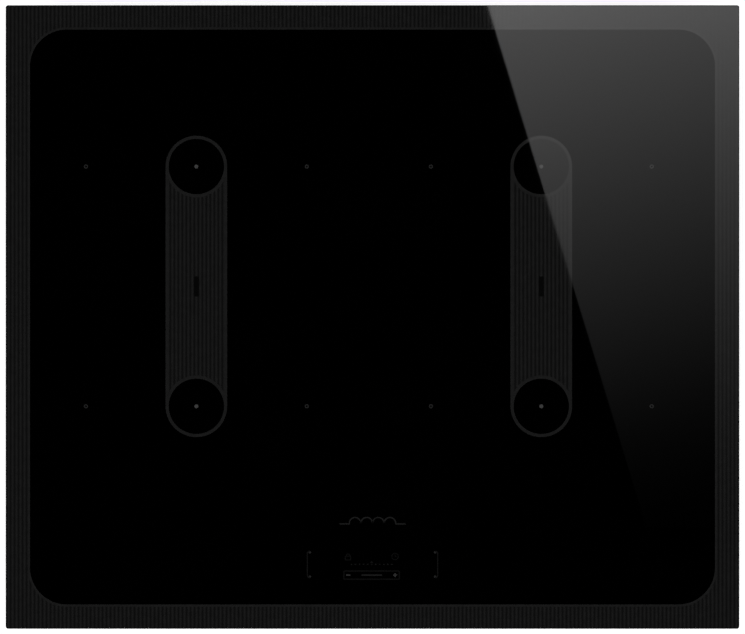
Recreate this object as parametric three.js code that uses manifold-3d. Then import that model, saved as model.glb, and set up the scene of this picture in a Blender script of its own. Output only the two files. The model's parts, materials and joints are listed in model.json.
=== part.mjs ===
// A 60 cm built-in induction cooktop: a black glass panel bonded to steel rails over a sheet-steel
// tray, with four sprung coil assemblies, two inverter boards cooled by blowers, a touch control, a
// terminal box and four swivelling clamps.
// Millimetres. +X is to the cook's right, +Y to the rear, +Z up. The origin is the centre of the
// tray's underside, so the glass top is at z = CASING.height + GLASS.thickness.
import * as THREE from "three";
import { mergeVertices } from "three/addons/utils/BufferGeometryUtils.js";
import Module from "manifold-3d";

// ---------------------------------------------------------------- driving dimensions
const GLASS = { width: 600, depth: 510, thickness: 4, corner: 2, bevel: 0.5 };
const CASING = { width: 552, depth: 482, height: 50, sheet: 1, corner: 9, fold: 3 };
const SEAL = { width: 9, thickness: 2.5, inset: 2 };
const RAIL = { sheet: 1.2, flange: 19, leg: 14, bond: 0.2 };
const GAP = 0.3;
const FACETS = { large: 28, middle: 16, small: 10 };
const REACH = 5; // how far a cutting tool runs past the face that it opens

const ZONE_X = { left: -144, right: 138 };
const ROW_Y = { rear: 123, front: -73 };

const COIL = {
  radius: 91,
  windingInner: 22,
  windingOuter: 88,
  formerBottom: 40,
  formerTop: 44,
  windingTop: 49,
  micaThickness: 0.5,
  micaBore: 7.5,
  bore: 16,
  ledgeBore: 12,
  ledge: 1.6,
  rim: { width: 2, drop: 0.6 },
};
const FERRITE = { count: 8, inner: 30, outer: 84, halfWidth: 8, roof: 0.8 };
const SENSOR = { radius: 6.5, lift: 1.7, flange: 2, shoulder: 3, tipGap: 0.2 };
const SPRING = { seat: 21, radius: 25, wire: 0.8, turns: 2.5, stepsPerTurn: 10 };
const SHIELD = {
  bottom: 30, sheet: 1.2, halfWidth: 100, front: -172, rear: 222, foot: 20, footInset: 14,
  seatRise: 1.5, sensorHole: 10, leadHole: 6, leadHoleX: 70,
};

const BOARD = { thickness: 1.6, bottom: 6 };
const POWER_BOARD = { innerX: 84, width: 160, front: -150, length: 220 };
const SPACER = { inset: 7, radius: 3, proud: 1 };
const HEAT_SINK = {
  x: 130, width: 48, height: 19, front: -138, length: 176, fins: 12, fin: 1.4, base: 3,
};
const DUCT = { width: 58, top: 29.4, wall: 1.5, lip: 5 };
const DUCT_INSET = 2;
const FAN = { x: 130, y: 112, bottom: 1.4, top: 27.6, wall: 1.5, inlet: 27, pin: 1.5, pinLength: 14 };
const SCROLL = {
  front: 42, outer: 43, inner: 38, turn: 1.25 * Math.PI, steps: 20,
  mouth: { left: -21, right: 33, depth: 12 },
};
const ROTOR = {
  radius: 34, clearance: 2, blades: 12, bladeLength: 8.6, bladeHalf: 0.6, tilt: 0.6,
  lipWidth: 2, lipHeight: 1.5,
};
const HUB = { radius: 11, height: 12, back: 1.2, bore: 1.58 };
const SLOT = { width: 3.6, pitch: 7.2, endRadius: 1.75 };
const INLET_GRILLE = { radius: FAN.inlet + 9, slots: 9 };
const FLOOR_VENT = { slots: 9, front: -225, rear: -185 };
const WALL_VENT = { bottom: 12, top: 30, slots: 11, sideSlots: 6, sideY: 20 };
const RIB = { halfWidth: 5, depth: 1.5 };
const RIB_RUNS = [
  ...[30, -20, -70, -120].map((y) => ({ x: 0, y, length: 120 })),
  { x: -160, y: 188, length: 130 },
  { x: 85, y: 212, length: 130 },
];

const CLAMP = { x: 262, rows: { rear: 80, front: -150 }, bore: 2.06, sheet: 2, bottom: 3.3 };
const CLAMP_ARM = { halfWidth: 8, reach: 44, lip: 1.6, tooth: 3, toothHalf: 2, toothPitch: 6 };
const CLAMP_POCKET = { inner: 248, height: 9, before: 12, after: 50 };
const CLAMP_SCREW = { shank: 2, head: 4, crown: 0.8, headBottom: 0.6, headTop: 3, tip: 17 };
const CROSS = { half: 2.4, halfWidth: 0.5, depth: 1.2 };

const FILTER = { width: 150, length: 116, y: 140 };
const CHOKE = { bore: 8, radius: 18, height: 16, x: 20, y: FILTER.y - 10 };
const TERMINAL_BOX = {
  left: 184, right: 252, front: 196, rear: 239.5, bottom: 2, top: 34, wall: 1.8, bayRight: 233,
};
const DOORWAY = { left: 189, right: 230, bottom: 5.8, top: 27 };
const CABLE_ENTRY = { x: 242, z: 17, bore: 6.5, collar: 8.5, proud: 2.5 };
const LEAD_HOLE = { radius: 5, y: 218, z: 16 };
const LID = { left: 187, right: 231, hingeZ: 31, bottom: 4.5, sheet: 1.8, pin: 1.2, knuckle: 2.6 };
const LID_GAP = 0.4;
const LID_AXIS_Y = TERMINAL_BOX.rear + LID.knuckle + LID_GAP;
const LID_EAR = { width: 3, half: 2.2 };
const LID_GRIP = { inset: 16, height: 3, proud: 4.2 };
const LID_RIDGE = { count: 3, inset: 6, lift: 8, pitch: 5, height: 1.4, proud: 2.9 };
const TERMINAL_BLOCK = {
  ways: 5, pitch: 8, depth: 17, height: 20, well: 2.4, wellFloor: 12,
  rib: 1.6, mouthFront: 10, mouthBottom: 3, mouthTop: 9,
};

const CONTROL = { halfX: 95, front: -218, rear: -176, bottom: 41, top: 49.6, wall: 1.5 };
const CONTROL_POST = { places: [-60, -20, 20, 60], halfWidth: 2, front: 16, rear: 24, height: 4 };
const RIBBON = { x: -86, y: -190, halfWidth: 4, halfThickness: 0.5 };

const halfWidth = CASING.width / 2;
const halfDepth = CASING.depth / 2;
const boardTop = BOARD.bottom + BOARD.thickness;
const shieldTop = SHIELD.bottom + SHIELD.sheet;

// Wires lie a little over the boards. A supply route is drawn for the right side.
const WIRE = { overBoard: boardTop + 4, mains: 3, supply: 2.4 };
const MAINS_ROUTE = [
  [187, 218, 16], [162, 216, 13], [120, 196, WIRE.overBoard], [66, 184, WIRE.overBoard],
];
const SUPPLY_ROUTE = [
  [52, 92, WIRE.overBoard], [66, 70, WIRE.overBoard + 5], [84, 50, WIRE.overBoard + 4],
  [94, 28, WIRE.overBoard],
];
const RIBBON_ROUTE = [
  [RIBBON.x, RIBBON.y, CONTROL.bottom + 3.6], [RIBBON.x, RIBBON.y + 1, 26],
  [RIBBON.x, RIBBON.y + 14, 14], [RIBBON.x, RIBBON.y + 40, WIRE.overBoard - 1],
  [RIBBON.x, RIBBON.y + 60, WIRE.overBoard - 1],
];

// ---------------------------------------------------------------- materials
const finish = (color, roughness, metalness = 0) =>
  new THREE.MeshStandardMaterial({ color, roughness, metalness });
const blackGlass = finish(0x050506, 0.08);
const sealFoam = finish(0x1b1b1c, 0.95);
const galvanisedSteel = finish(0x9fa3a6, 0.45, 0.9);
const aluminiumSheet = finish(0xc4c7ca, 0.35, 0.9);
const formerPlastic = finish(0x2a2b2d, 0.6);
const windingWire = finish(0xa4582c, 0.45, 0.6);
const micaSheet = finish(0xb9b2a0, 0.7);
const sensorCeramic = finish(0xe4e0d6, 0.5);
const springSteel = finish(0xb8babc, 0.3, 1);
const circuitBoard = finish(0x1f5a34, 0.5);
const fanPlastic = finish(0x17181a, 0.55);
const ductPlastic = finish(0x55585b, 0.6);
const chokeFerrite = finish(0x3a3a3c, 0.6);
const terminalPlastic = finish(0x202123, 0.55);
const terminalCream = finish(0xd8d4c6, 0.55);
const wireInsulation = finish(0x26272a, 0.5);
const ribbonPlastic = finish(0xcfcfca, 0.5);

// ---------------------------------------------------------------- geometry helpers
const wasm = await Module();
wasm.setup();

function solidOf(geometry) {
  const bare = geometry.clone();
  bare.deleteAttribute("normal");
  bare.deleteAttribute("uv");
  const welded = mergeVertices(bare, 1e-4);
  return new wasm.Manifold(
    new wasm.Mesh({
      numProp: 3,
      vertProperties: welded.attributes.position.array,
      triVerts: new Uint32Array(welded.index.array),
    }),
  );
}

function geometryOf(solid) {
  const mesh = solid.getMesh();
  const geometry = new THREE.BufferGeometry();
  geometry.setAttribute("position", new THREE.BufferAttribute(mesh.vertProperties, 3));
  geometry.setIndex(new THREE.BufferAttribute(mesh.triVerts, 1));
  geometry.computeVertexNormals();
  return geometry;
}

// The first geometry joined with the added ones, then with the cutters taken away.
function shaped(added, cutters = []) {
  let solid = added.map(solidOf).reduce((whole, piece) => whole.add(piece));
  if (cutters.length) {
    const tool = cutters.map(solidOf).reduce((whole, piece) => whole.add(piece));
    solid = solid.subtract(tool);
  }
  return geometryOf(solid);
}

function block(x, y, z) {
  const box = new THREE.BoxGeometry(x[1] - x[0], y[1] - y[0], z[1] - z[0]);
  return box.translate((x[0] + x[1]) / 2, (y[0] + y[1]) / 2, (z[0] + z[1]) / 2);
}

function roundedRect(halfX, halfY, radius) {
  const shape = new THREE.Shape();
  const x = halfX - radius;
  const y = halfY - radius;
  shape.absarc(x, y, radius, 0, Math.PI / 2);
  shape.absarc(-x, y, radius, Math.PI / 2, Math.PI);
  shape.absarc(-x, -y, radius, Math.PI, 1.5 * Math.PI);
  shape.absarc(x, -y, radius, 1.5 * Math.PI, 2 * Math.PI);
  shape.closePath();
  return shape;
}

function outline(points) {
  return new THREE.Shape(points.map(([x, y]) => new THREE.Vector2(x, y)));
}

function plate(shape, bottom, top, curveSegments = 4) {
  const depth = top - bottom;
  const slab = new THREE.ExtrudeGeometry(shape, { depth, bevelEnabled: false, curveSegments });
  return slab.translate(0, 0, bottom);
}

// A rounded slab whose top and bottom edges are eased by `ease`.
function easedSlab(halfX, halfY, corner, ease, bottom, top, curveSegments = 4, bevelSegments = 2) {
  const slab = new THREE.ExtrudeGeometry(roundedRect(halfX, halfY, corner), {
    depth: top - bottom - 2 * ease,
    bevelEnabled: true,
    bevelThickness: ease,
    bevelSize: ease,
    bevelOffset: -ease,
    bevelSegments,
    curveSegments,
  });
  return slab.translate(0, 0, bottom + ease);
}

// A section drawn in (y, z) and run along x, or drawn in (x, z) and run along y.
const axisX = new THREE.Vector3(1, 0, 0);
const axisY = new THREE.Vector3(0, 1, 0);
const axisZ = new THREE.Vector3(0, 0, 1);

function beamAlongX(section, from, to) {
  const basis = new THREE.Matrix4().makeBasis(axisY, axisZ, axisX);
  return plate(section, from, to).applyMatrix4(basis);
}

function beamAlongY(section, from, to) {
  const basis = new THREE.Matrix4().makeBasis(axisX, axisZ, axisY.clone().negate());
  return plate(section, -to, -from).applyMatrix4(basis);
}

// A profile of [radius, height] points, counter-clockwise, turned about Z.
function turned(profile, segments = 32) {
  const points = profile.map(([radius, height]) => new THREE.Vector2(radius, height));
  return new THREE.LatheGeometry(points, segments).rotateX(Math.PI / 2);
}

function disc(radius, bottom, top, segments = 32) {
  return turned([[0, bottom], [radius, bottom], [radius, top], [0, top]], segments);
}

function ring(inner, outer, bottom, top, segments = 32) {
  const profile = [[inner, bottom], [outer, bottom], [outer, top], [inner, top], [inner, bottom]];
  return turned(profile, segments);
}

function rodAlongX(radius, from, to, y, z, segments = 16) {
  const rod = disc(radius, from, to, segments);
  return rod.rotateY(Math.PI / 2).translate(0, y, z);
}

function rodAlongY(radius, from, to, x, z, segments = 24) {
  const rod = disc(radius, -to, -from, segments);
  return rod.rotateX(Math.PI / 2).translate(x, 0, z);
}

function wireAlong(points, radius, steps, sides = 8) {
  const path = new THREE.CatmullRomCurve3(points.map((point) => new THREE.Vector3(...point)));
  const section = new THREE.Shape();
  for (let i = 0; i < sides; i += 1) {
    const turn = (2 * Math.PI * i) / sides;
    section[i ? "lineTo" : "moveTo"](radius * Math.cos(turn), radius * Math.sin(turn));
  }
  return new THREE.ExtrudeGeometry(section, { steps, extrudePath: path, bevelEnabled: false });
}

function named(name, geometry, material, x = 0, y = 0, z = 0) {
  const mesh = new THREE.Mesh(geometry, material);
  mesh.name = name;
  mesh.position.set(x, y, z);
  return mesh;
}

// `count` slots side by side along one axis, centred on `middle`.
function slotCentres(middle, count) {
  return Array.from({ length: count }, (_, i) => middle + (i - (count - 1) / 2) * SLOT.pitch);
}

// ---------------------------------------------------------------- glass, seal and rails
function glassPanel() {
  const { width, depth, thickness, corner, bevel } = GLASS;
  return easedSlab(width / 2, depth / 2, corner, bevel, 0, thickness, 3);
}

function rimSeal() {
  const halfX = GLASS.width / 2 - SEAL.inset;
  const halfY = GLASS.depth / 2 - SEAL.inset;
  const shape = roundedRect(halfX, halfY, 3);
  shape.holes.push(roundedRect(halfX - SEAL.width, halfY - SEAL.width, 1));
  return plate(shape, -SEAL.thickness, 0, 3);
}

// An angle section: a flange under the glass and a leg down the inside of the tray's wall, which
// stands at 0. The flange points towards minus.
function railSection() {
  const { sheet, flange, leg } = RAIL;
  return outline([
    [0, 0],
    [-flange, 0],
    [-flange, -sheet],
    [-sheet, -sheet],
    [-sheet, -leg],
    [0, -leg],
  ]);
}

function rails() {
  const wallX = halfWidth - CASING.sheet - GAP;
  const wallY = halfDepth - CASING.sheet - GAP;
  const longRun = wallX - CASING.corner;
  const sideRun = wallY - RAIL.flange - GAP;
  const group = new THREE.Group();
  group.position.z = CASING.height - RAIL.bond;
  const along = beamAlongX(railSection(), -longRun, longRun);
  const side = beamAlongY(railSection(), -sideRun, sideRun);
  const rear = named("rear_rail", along, galvanisedSteel, 0, wallY);
  const front = named("front_rail", along, galvanisedSteel, 0, -wallY);
  front.rotation.z = Math.PI;
  const right = named("right_rail", side, galvanisedSteel, wallX);
  const left = named("left_rail", side, galvanisedSteel, -wallX);
  left.rotation.z = Math.PI;
  group.add(rear, front, right, left);
  return group;
}

// ---------------------------------------------------------------- base tray
const TRAY_TOP = CASING.height - GAP;
const FLOOR = CASING.sheet;

// A round-ended slot through the floor, and one that stands in a wall and faces along y.
function floorSlot(halfX, halfY, x, y) {
  const slot = plate(roundedRect(halfX, halfY, SLOT.endRadius), -REACH, FLOOR + REACH, 2);
  return slot.translate(x, y, 0);
}

function standingSlot() {
  const { bottom, top } = WALL_VENT;
  const shape = roundedRect(SLOT.width / 2, (top - bottom) / 2, SLOT.endRadius);
  return plate(shape, -REACH, REACH, 2).rotateX(Math.PI / 2).translate(0, 0, (top + bottom) / 2);
}

function inletGrille(x) {
  const { radius, slots } = INLET_GRILLE;
  return slotCentres(0, slots).map((dy) =>
    floorSlot(Math.sqrt(radius ** 2 - dy ** 2), SLOT.width / 2, x, FAN.y + dy),
  );
}

function floorVents(middle) {
  const { slots, front, rear } = FLOOR_VENT;
  const half = (rear - front) / 2;
  return slotCentres(middle, slots).map((x) => floorSlot(SLOT.width / 2, half, x, front + half));
}

function endWallVents(middle, side) {
  return slotCentres(middle, WALL_VENT.slots).map((x) =>
    standingSlot().translate(x, side * halfDepth, 0),
  );
}

function sideWallVents(side) {
  return slotCentres(WALL_VENT.sideY, WALL_VENT.sideSlots).map((y) =>
    standingSlot().rotateZ(Math.PI / 2).translate(side * halfWidth, y, 0),
  );
}

// Stiffening grooves pressed up into the floor: what each adds above it and takes from below.
function stiffeningRibs() {
  const { halfWidth: half, depth } = RIB;
  const groove = (length, spread, bottom, top) =>
    plate(roundedRect(length / 2 + spread, half + spread, half - 0.1), bottom, top, 4);
  const raised = RIB_RUNS.map(({ x, y, length }) =>
    groove(length, FLOOR, FLOOR / 2, FLOOR + depth).translate(x, y, 0),
  );
  const pressed = RIB_RUNS.map(({ x, y, length }) =>
    groove(length, 0, -REACH, depth).translate(x, y, 0),
  );
  return { raised, pressed };
}

// The pocket in the tray's lower edge that a clamp folds into, as its shell and its hollow.
function clampPocket(side, y) {
  const { inner, height, before, after } = CLAMP_POCKET;
  const wall = CASING.sheet;
  const span = (from, to) => (side > 0 ? [from, to] : [-to, -from]);
  const shell = block(
    span(inner - wall, halfWidth - wall / 2),
    [y - before - wall, y + after + wall],
    [wall / 2, height + wall],
  );
  const hollow = block(span(inner, halfWidth + REACH), [y - before, y + after], [-REACH, height]);
  const screwHole = disc(CLAMP_SCREW.shank + GAP, 0, height + REACH, 16);
  screwHole.translate(side * CLAMP.x, y, 0);
  return { shell, cuts: [hollow, screwHole] };
}

function trayPan() {
  const { sheet, corner, fold } = CASING;
  const over = TRAY_TOP + 2 * fold;
  const outside = easedSlab(halfWidth, halfDepth, corner, fold, 0, over, 5, 3);
  const inside = easedSlab(
    halfWidth - sheet, halfDepth - sheet, corner - sheet, fold - sheet, sheet, over + fold, 5, 3,
  );
  const above = block(
    [-halfWidth - 1, halfWidth + 1], [-halfDepth - 1, halfDepth + 1], [TRAY_TOP, over + 1],
  );
  return shaped([outside], [inside, above]);
}

function baseTray() {
  const pockets = [-1, 1].flatMap((side) =>
    Object.values(CLAMP.rows).map((y) => clampPocket(side, y)),
  );
  const ribs = stiffeningRibs();
  const terminalOpening = block(
    [TERMINAL_BOX.left - GAP, TERMINAL_BOX.right + GAP],
    [halfDepth - REACH, halfDepth + REACH],
    [TERMINAL_BOX.bottom - GAP, TERMINAL_BOX.top + GAP],
  );
  const vents = [
    ...inletGrille(-FAN.x),
    ...inletGrille(FAN.x),
    ...floorVents(-FAN.x),
    ...floorVents(FAN.x),
    ...endWallVents(-FAN.x, -1),
    ...endWallVents(FAN.x, -1),
    ...endWallVents(-FAN.x, 1),
    ...sideWallVents(-1),
    ...sideWallVents(1),
  ];
  return shaped(
    [trayPan(), ...pockets.map((pocket) => pocket.shell), ...ribs.raised],
    [...pockets.flatMap((pocket) => pocket.cuts), ...ribs.pressed, terminalOpening, ...vents],
  );
}

// ---------------------------------------------------------------- clamps
// A flat arm whose tip is turned up into a lip with three teeth that bite the worktop.
function clampArm() {
  const { halfWidth: half, reach, lip, tooth, toothHalf, toothPitch } = CLAMP_ARM;
  const { sheet, bore } = CLAMP;
  const shape = new THREE.Shape();
  shape.moveTo(half, 0);
  shape.lineTo(half, reach);
  shape.lineTo(-half, reach);
  shape.lineTo(-half, 0);
  shape.absarc(0, 0, half, Math.PI, 2 * Math.PI);
  const pivot = new THREE.Path();
  pivot.absarc(0, 0, bore, 0, 2 * Math.PI);
  shape.holes.push(pivot);
  const tip = (x, height) => block(x, [reach - sheet, reach], [sheet / 2, sheet + height]);
  const teeth = [-toothPitch, 0, toothPitch].map((x) => tip([x - toothHalf, x + toothHalf], tooth));
  return shaped([plate(shape, 0, sheet, 8), tip([-half, half], lip), ...teeth]);
}

function clampScrew() {
  const { shank, head, crown, headBottom, headTop, tip } = CLAMP_SCREW;
  const screw = turned(
    [
      [0, headBottom],
      [head - crown, headBottom],
      [head, headBottom + crown],
      [head, headTop],
      [shank, headTop],
      [shank, tip],
      [0, tip],
    ],
    FACETS.middle,
  );
  const { half, halfWidth: thin, depth } = CROSS;
  const sunk = [-1, headBottom + depth];
  const across = block([-half, half], [-thin, thin], sunk);
  const along = block([-thin, thin], [-half, half], sunk);
  return shaped([screw], [across, along]);
}

function clamps() {
  const group = new THREE.Group();
  const arm = clampArm();
  const screw = clampScrew();
  for (const [sideName, side] of [["left", -1], ["right", 1]]) {
    for (const [rowName, y] of Object.entries(CLAMP.rows)) {
      const where = `${rowName}_${sideName}`;
      const x = side * CLAMP.x;
      group.add(named(`${where}_clamp`, arm, galvanisedSteel, x, y, CLAMP.bottom));
      group.add(named(`${where}_clamp_screw`, screw, springSteel, x, y));
    }
  }
  return group;
}

// ---------------------------------------------------------------- shield plates
// Where a shield plate's corner is cut away to clear the terminal box.
function shieldNotch(plateX) {
  return { x: TERMINAL_BOX.left - 6 - plateX, y: TERMINAL_BOX.front - 8 };
}

// The aluminium sheet under a pair of coils. Its feet are tabs folded down to the tray's floor.
function shieldPlate(side) {
  const { bottom, sheet, halfWidth: half, front, rear, foot, footInset } = SHIELD;
  const notch = side === "right" ? shieldNotch(ZONE_X[side]) : null;
  const corner = notch
    ? [[half, notch.y], [notch.x, notch.y], [notch.x, rear]]
    : [[half, rear]];
  const sheetOutline = outline([[-half, front], [half, front], ...corner, [-half, rear]]);
  const leftFoot = -half + footInset;
  const rightFoot = half - foot - footInset;
  const feet = [
    [leftFoot, front],
    [rightFoot, front],
    [leftFoot, rear - sheet],
    [notch ? notch.x - foot : rightFoot, rear - sheet],
  ].map(([footX, footY]) =>
    block([footX, footX + foot], [footY, footY + sheet], [FLOOR + 0.1, bottom + sheet / 2]),
  );
  const seats = Object.values(ROW_Y).map((y) =>
    disc(SPRING.seat, bottom, shieldTop + SHIELD.seatRise, FACETS.middle).translate(0, y, 0),
  );
  const hole = (radius, x, y) =>
    disc(radius, bottom - REACH, bottom + REACH, FACETS.small).translate(x, y, 0);
  const holes = Object.values(ROW_Y).flatMap((y) => [
    hole(SHIELD.sensorHole, 0, y),
    hole(SHIELD.leadHole, SHIELD.leadHoleX, y),
  ]);
  return shaped([plate(sheetOutline, bottom, bottom + sheet), ...feet, ...seats], holes);
}

// ---------------------------------------------------------------- coil assembly
function coilFormer() {
  const { radius, formerBottom, formerTop, windingTop, bore, ledgeBore, ledge, rim } = COIL;
  const { count, inner, outer, halfWidth: half, roof } = FERRITE;
  const ridge = windingTop - rim.drop;
  const body = turned(
    [
      [ledgeBore, formerBottom],
      [radius, formerBottom],
      [radius, ridge],
      [radius - rim.width, ridge],
      [radius - rim.width, formerTop],
      [bore, formerTop],
      [bore, formerBottom + ledge],
      [ledgeBore, formerBottom + ledge],
      [ledgeBore, formerBottom],
    ],
    FACETS.large,
  );
  const pocket = block([inner, outer], [-half, half], [formerBottom - REACH, formerTop - roof]);
  const pockets = Array.from({ length: count }, (_, i) =>
    pocket.clone().rotateZ((2 * Math.PI * (i + 0.5)) / count),
  );
  return shaped([body], pockets);
}

function coilWinding() {
  const { windingInner, windingOuter, formerTop, windingTop } = COIL;
  return ring(windingInner, windingOuter, formerTop + 0.1, windingTop, FACETS.large);
}

function micaDisc() {
  const bottom = COIL.windingTop + 0.1;
  return ring(COIL.micaBore, COIL.radius, bottom, bottom + COIL.micaThickness, FACETS.large);
}

function sensorPlug() {
  const { radius, lift, flange, shoulder, tipGap } = SENSOR;
  const foot = COIL.formerBottom + lift;
  const tip = CASING.height - tipGap;
  return turned(
    [
      [0, foot],
      [COIL.bore - GAP, foot],
      [COIL.bore - GAP, foot + flange],
      [radius, foot + shoulder],
      [radius, tip],
      [0, tip],
    ],
    FACETS.middle,
  );
}

function coilSpring() {
  const { radius, wire, turns, stepsPerTurn } = SPRING;
  const low = shieldTop + wire + 0.15;
  const high = COIL.formerBottom - wire - 0.15;
  const steps = turns * stepsPerTurn;
  const points = Array.from({ length: steps + 1 }, (_, i) => {
    const turn = (2 * Math.PI * i) / stepsPerTurn;
    return [radius * Math.cos(turn), radius * Math.sin(turn), low + ((high - low) * i) / steps];
  });
  return wireAlong(points, wire, steps, 6);
}

function coils() {
  const group = new THREE.Group();
  const former = coilFormer();
  const winding = coilWinding();
  const mica = micaDisc();
  const sensor = sensorPlug();
  const spring = coilSpring();
  for (const [sideName, x] of Object.entries(ZONE_X)) {
    for (const [rowName, y] of Object.entries(ROW_Y)) {
      const where = `${rowName}_${sideName}`;
      const assembly = new THREE.Group();
      assembly.position.set(x, y, 0);
      assembly.add(
        named(`${where}_coil_former`, former, formerPlastic),
        named(`${where}_coil_winding`, winding, windingWire),
        named(`${where}_mica_disc`, mica, micaSheet),
        named(`${where}_heat_sensor`, sensor, sensorCeramic),
        named(`${where}_coil_spring`, spring, springSteel),
      );
      group.add(assembly);
    }
  }
  return group;
}

// ---------------------------------------------------------------- boards and cooling
// A circuit board with four snap-in spacers that stand on the tray's floor.
function board(width, length, bottom, spacerFoot) {
  const { inset, radius, proud } = SPACER;
  const spacers = [[-1, -1], [1, -1], [-1, 1], [1, 1]].map(([sx, sy]) =>
    disc(radius, spacerFoot, bottom + BOARD.thickness + proud, 6).translate(
      sx * (width / 2 - inset),
      sy * (length / 2 - inset),
      0,
    ),
  );
  const sheet = plate(roundedRect(width / 2, length / 2, 3), bottom, bottom + BOARD.thickness, 2);
  return shaped([sheet, ...spacers]);
}

function heatSink() {
  const { width, height, fins, fin, length, base } = HEAT_SINK;
  const pitch = (width - fin) / (fins - 1);
  const points = [[-width / 2, 0], [width / 2, 0]];
  for (let i = fins - 1; i >= 0; i -= 1) {
    const left = -width / 2 + i * pitch;
    points.push([left + fin, height], [left, height]);
    if (i) points.push([left, base], [left - pitch + fin, base]);
  }
  return beamAlongY(outline(points), 0, length);
}

// An inverted channel that leads the blower's air over the heat sink to the front of the board.
function airDuct(length) {
  const { width, top, wall, lip } = DUCT;
  const outer = width / 2;
  const low = boardTop + 0.1;
  const high = top - GAP;
  const section = outline([
    [-outer - lip, low],
    [-outer + wall, low],
    [-outer + wall, high - wall],
    [outer - wall, high - wall],
    [outer - wall, low],
    [outer + lip, low],
    [outer + lip, low + wall],
    [outer, low + wall],
    [outer, high],
    [-outer, high],
    [-outer, low + wall],
    [-outer - lip, low + wall],
  ]);
  return beamAlongY(section, 0, length);
}

// A scroll that widens steadily towards its mouth, which faces the front.
function scrollOutline(offset) {
  const { front, outer, inner, turn, steps } = SCROLL;
  const shape = new THREE.Shape();
  const mouthHalf = DUCT.width / 2 - 6;
  shape.moveTo(-mouthHalf - offset, -front);
  shape.lineTo(outer + offset - 8, -front);
  for (let i = 0; i <= steps; i += 1) {
    const angle = (turn * i) / steps;
    const radius = outer + offset - ((outer - inner) * i) / steps;
    shape.lineTo(radius * Math.cos(angle), radius * Math.sin(angle));
  }
  return shape;
}

function fanHousing() {
  const { bottom, top, wall, inlet, pin, pinLength } = FAN;
  const inside = [bottom + wall, top - wall];
  const shell = plate(scrollOutline(0), bottom, top);
  const cavity = plate(scrollOutline(-wall), ...inside);
  const { left, right, depth } = SCROLL.mouth;
  const mouth = block([left, right], [-SCROLL.front - REACH, -SCROLL.front + depth], inside);
  const inletHole = disc(inlet, bottom - REACH, inside[0] + 0.5, FACETS.middle);
  const hubPin = disc(pin, inside[1] - pinLength, top - wall / 2, 24);
  const hollow = shaped([shell], [cavity, mouth, inletHole]);
  return shaped([hollow, hubPin]);
}

// A back plate and hub with blades between the plate and the lip ring at the inlet.
function fanRotor() {
  const { bottom, top, wall } = FAN;
  const { radius, clearance, blades, bladeLength, bladeHalf, tilt } = ROTOR;
  const low = bottom + wall + clearance;
  const high = top - wall - clearance;
  const hub = disc(HUB.radius, high - HUB.height, high, FACETS.middle);
  const back = disc(radius, high - HUB.back, high, 2 * blades);
  const lip = ring(radius - ROTOR.lipWidth, radius, low, low + ROTOR.lipHeight, 2 * blades);
  const middle = radius - 0.4 - bladeLength / 2;
  const half = bladeLength / 2;
  const blade = block([-half, half], [-bladeHalf, bladeHalf], [low + 0.2, high - 0.4]);
  blade.rotateZ(tilt).translate(middle, 0, 0);
  const ringOfBlades = Array.from({ length: blades }, (_, i) =>
    blade.clone().rotateZ((2 * Math.PI * i) / blades),
  );
  const bore = disc(HUB.bore, low - REACH, high + REACH, 24);
  return shaped([hub, back, lip, ...ringOfBlades], [bore]);
}

function coolingSide(name, side) {
  const group = new THREE.Group();
  const boardX = side * (POWER_BOARD.innerX + POWER_BOARD.width / 2);
  const boardY = POWER_BOARD.front + POWER_BOARD.length / 2;
  const power = board(POWER_BOARD.width, POWER_BOARD.length, BOARD.bottom, FLOOR + 0.1);
  const ductLength = POWER_BOARD.length - 2 * DUCT_INSET;
  const fanX = side * FAN.x;
  const housing = named(`${name}_fan_housing`, fanHousing(), fanPlastic, fanX, FAN.y);
  const rotor = named(`${name}_fan_rotor`, fanRotor(), fanPlastic, fanX, FAN.y);
  group.add(
    named(`${name}_power_board`, power, circuitBoard, boardX, boardY),
    named(
      `${name}_heat_sink`, heatSink(), aluminiumSheet,
      side * HEAT_SINK.x, HEAT_SINK.front, boardTop + 0.1,
    ),
    named(
      `${name}_air_duct`, airDuct(ductLength), ductPlastic,
      side * HEAT_SINK.x, POWER_BOARD.front + DUCT_INSET,
    ),
    housing,
    rotor,
  );
  return group;
}

// ---------------------------------------------------------------- mains side
function choke() {
  return ring(CHOKE.bore, CHOKE.radius, boardTop + 0.2, boardTop + CHOKE.height, FACETS.middle);
}

// A moulded box with a bay behind the lid, a passage to the cable's collar, and the lid's ears.
function terminalBox() {
  const { left, right, front, rear, top, bottom, wall, bayRight } = TERMINAL_BOX;
  const inside = [bottom + wall, top - wall];
  const shell = block([left, right], [front, rear], [bottom, top]);
  const bay = block([left + wall, bayRight], [front + wall, rear - wall], inside);
  const doorway = block(
    [DOORWAY.left, DOORWAY.right], [rear - REACH, rear + REACH], [DOORWAY.bottom, DOORWAY.top],
  );
  const passage = block([LID.right, right - wall], [front + wall, rear - wall - 6], inside);
  const { x, z, bore, collar: collarRadius, proud } = CABLE_ENTRY;
  const collar = rodAlongY(collarRadius, rear - 10, rear + proud, x, z);
  const entry = rodAlongY(bore, rear - 20, rear + proud + REACH, x, z);
  const leadHole = rodAlongX(LEAD_HOLE.radius, left - REACH, left + REACH, LEAD_HOLE.y, LEAD_HOLE.z);
  const { width, half } = LID_EAR;
  const ears = [LID.left - GAP - width + 0.7, LID.right - 0.4].map((earX) =>
    block([earX, earX + width], [rear - 1, LID_AXIS_Y + 2], [LID.hingeZ - half, LID.hingeZ + half]),
  );
  const pin = rodAlongX(LID.pin, LID.left - 1, LID.right + 1, LID_AXIS_Y, LID.hingeZ);
  const hollow = shaped([shell], [bay, doorway, passage]);
  return shaped([hollow, collar, ...ears, pin], [entry, leadHole]);
}

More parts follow.
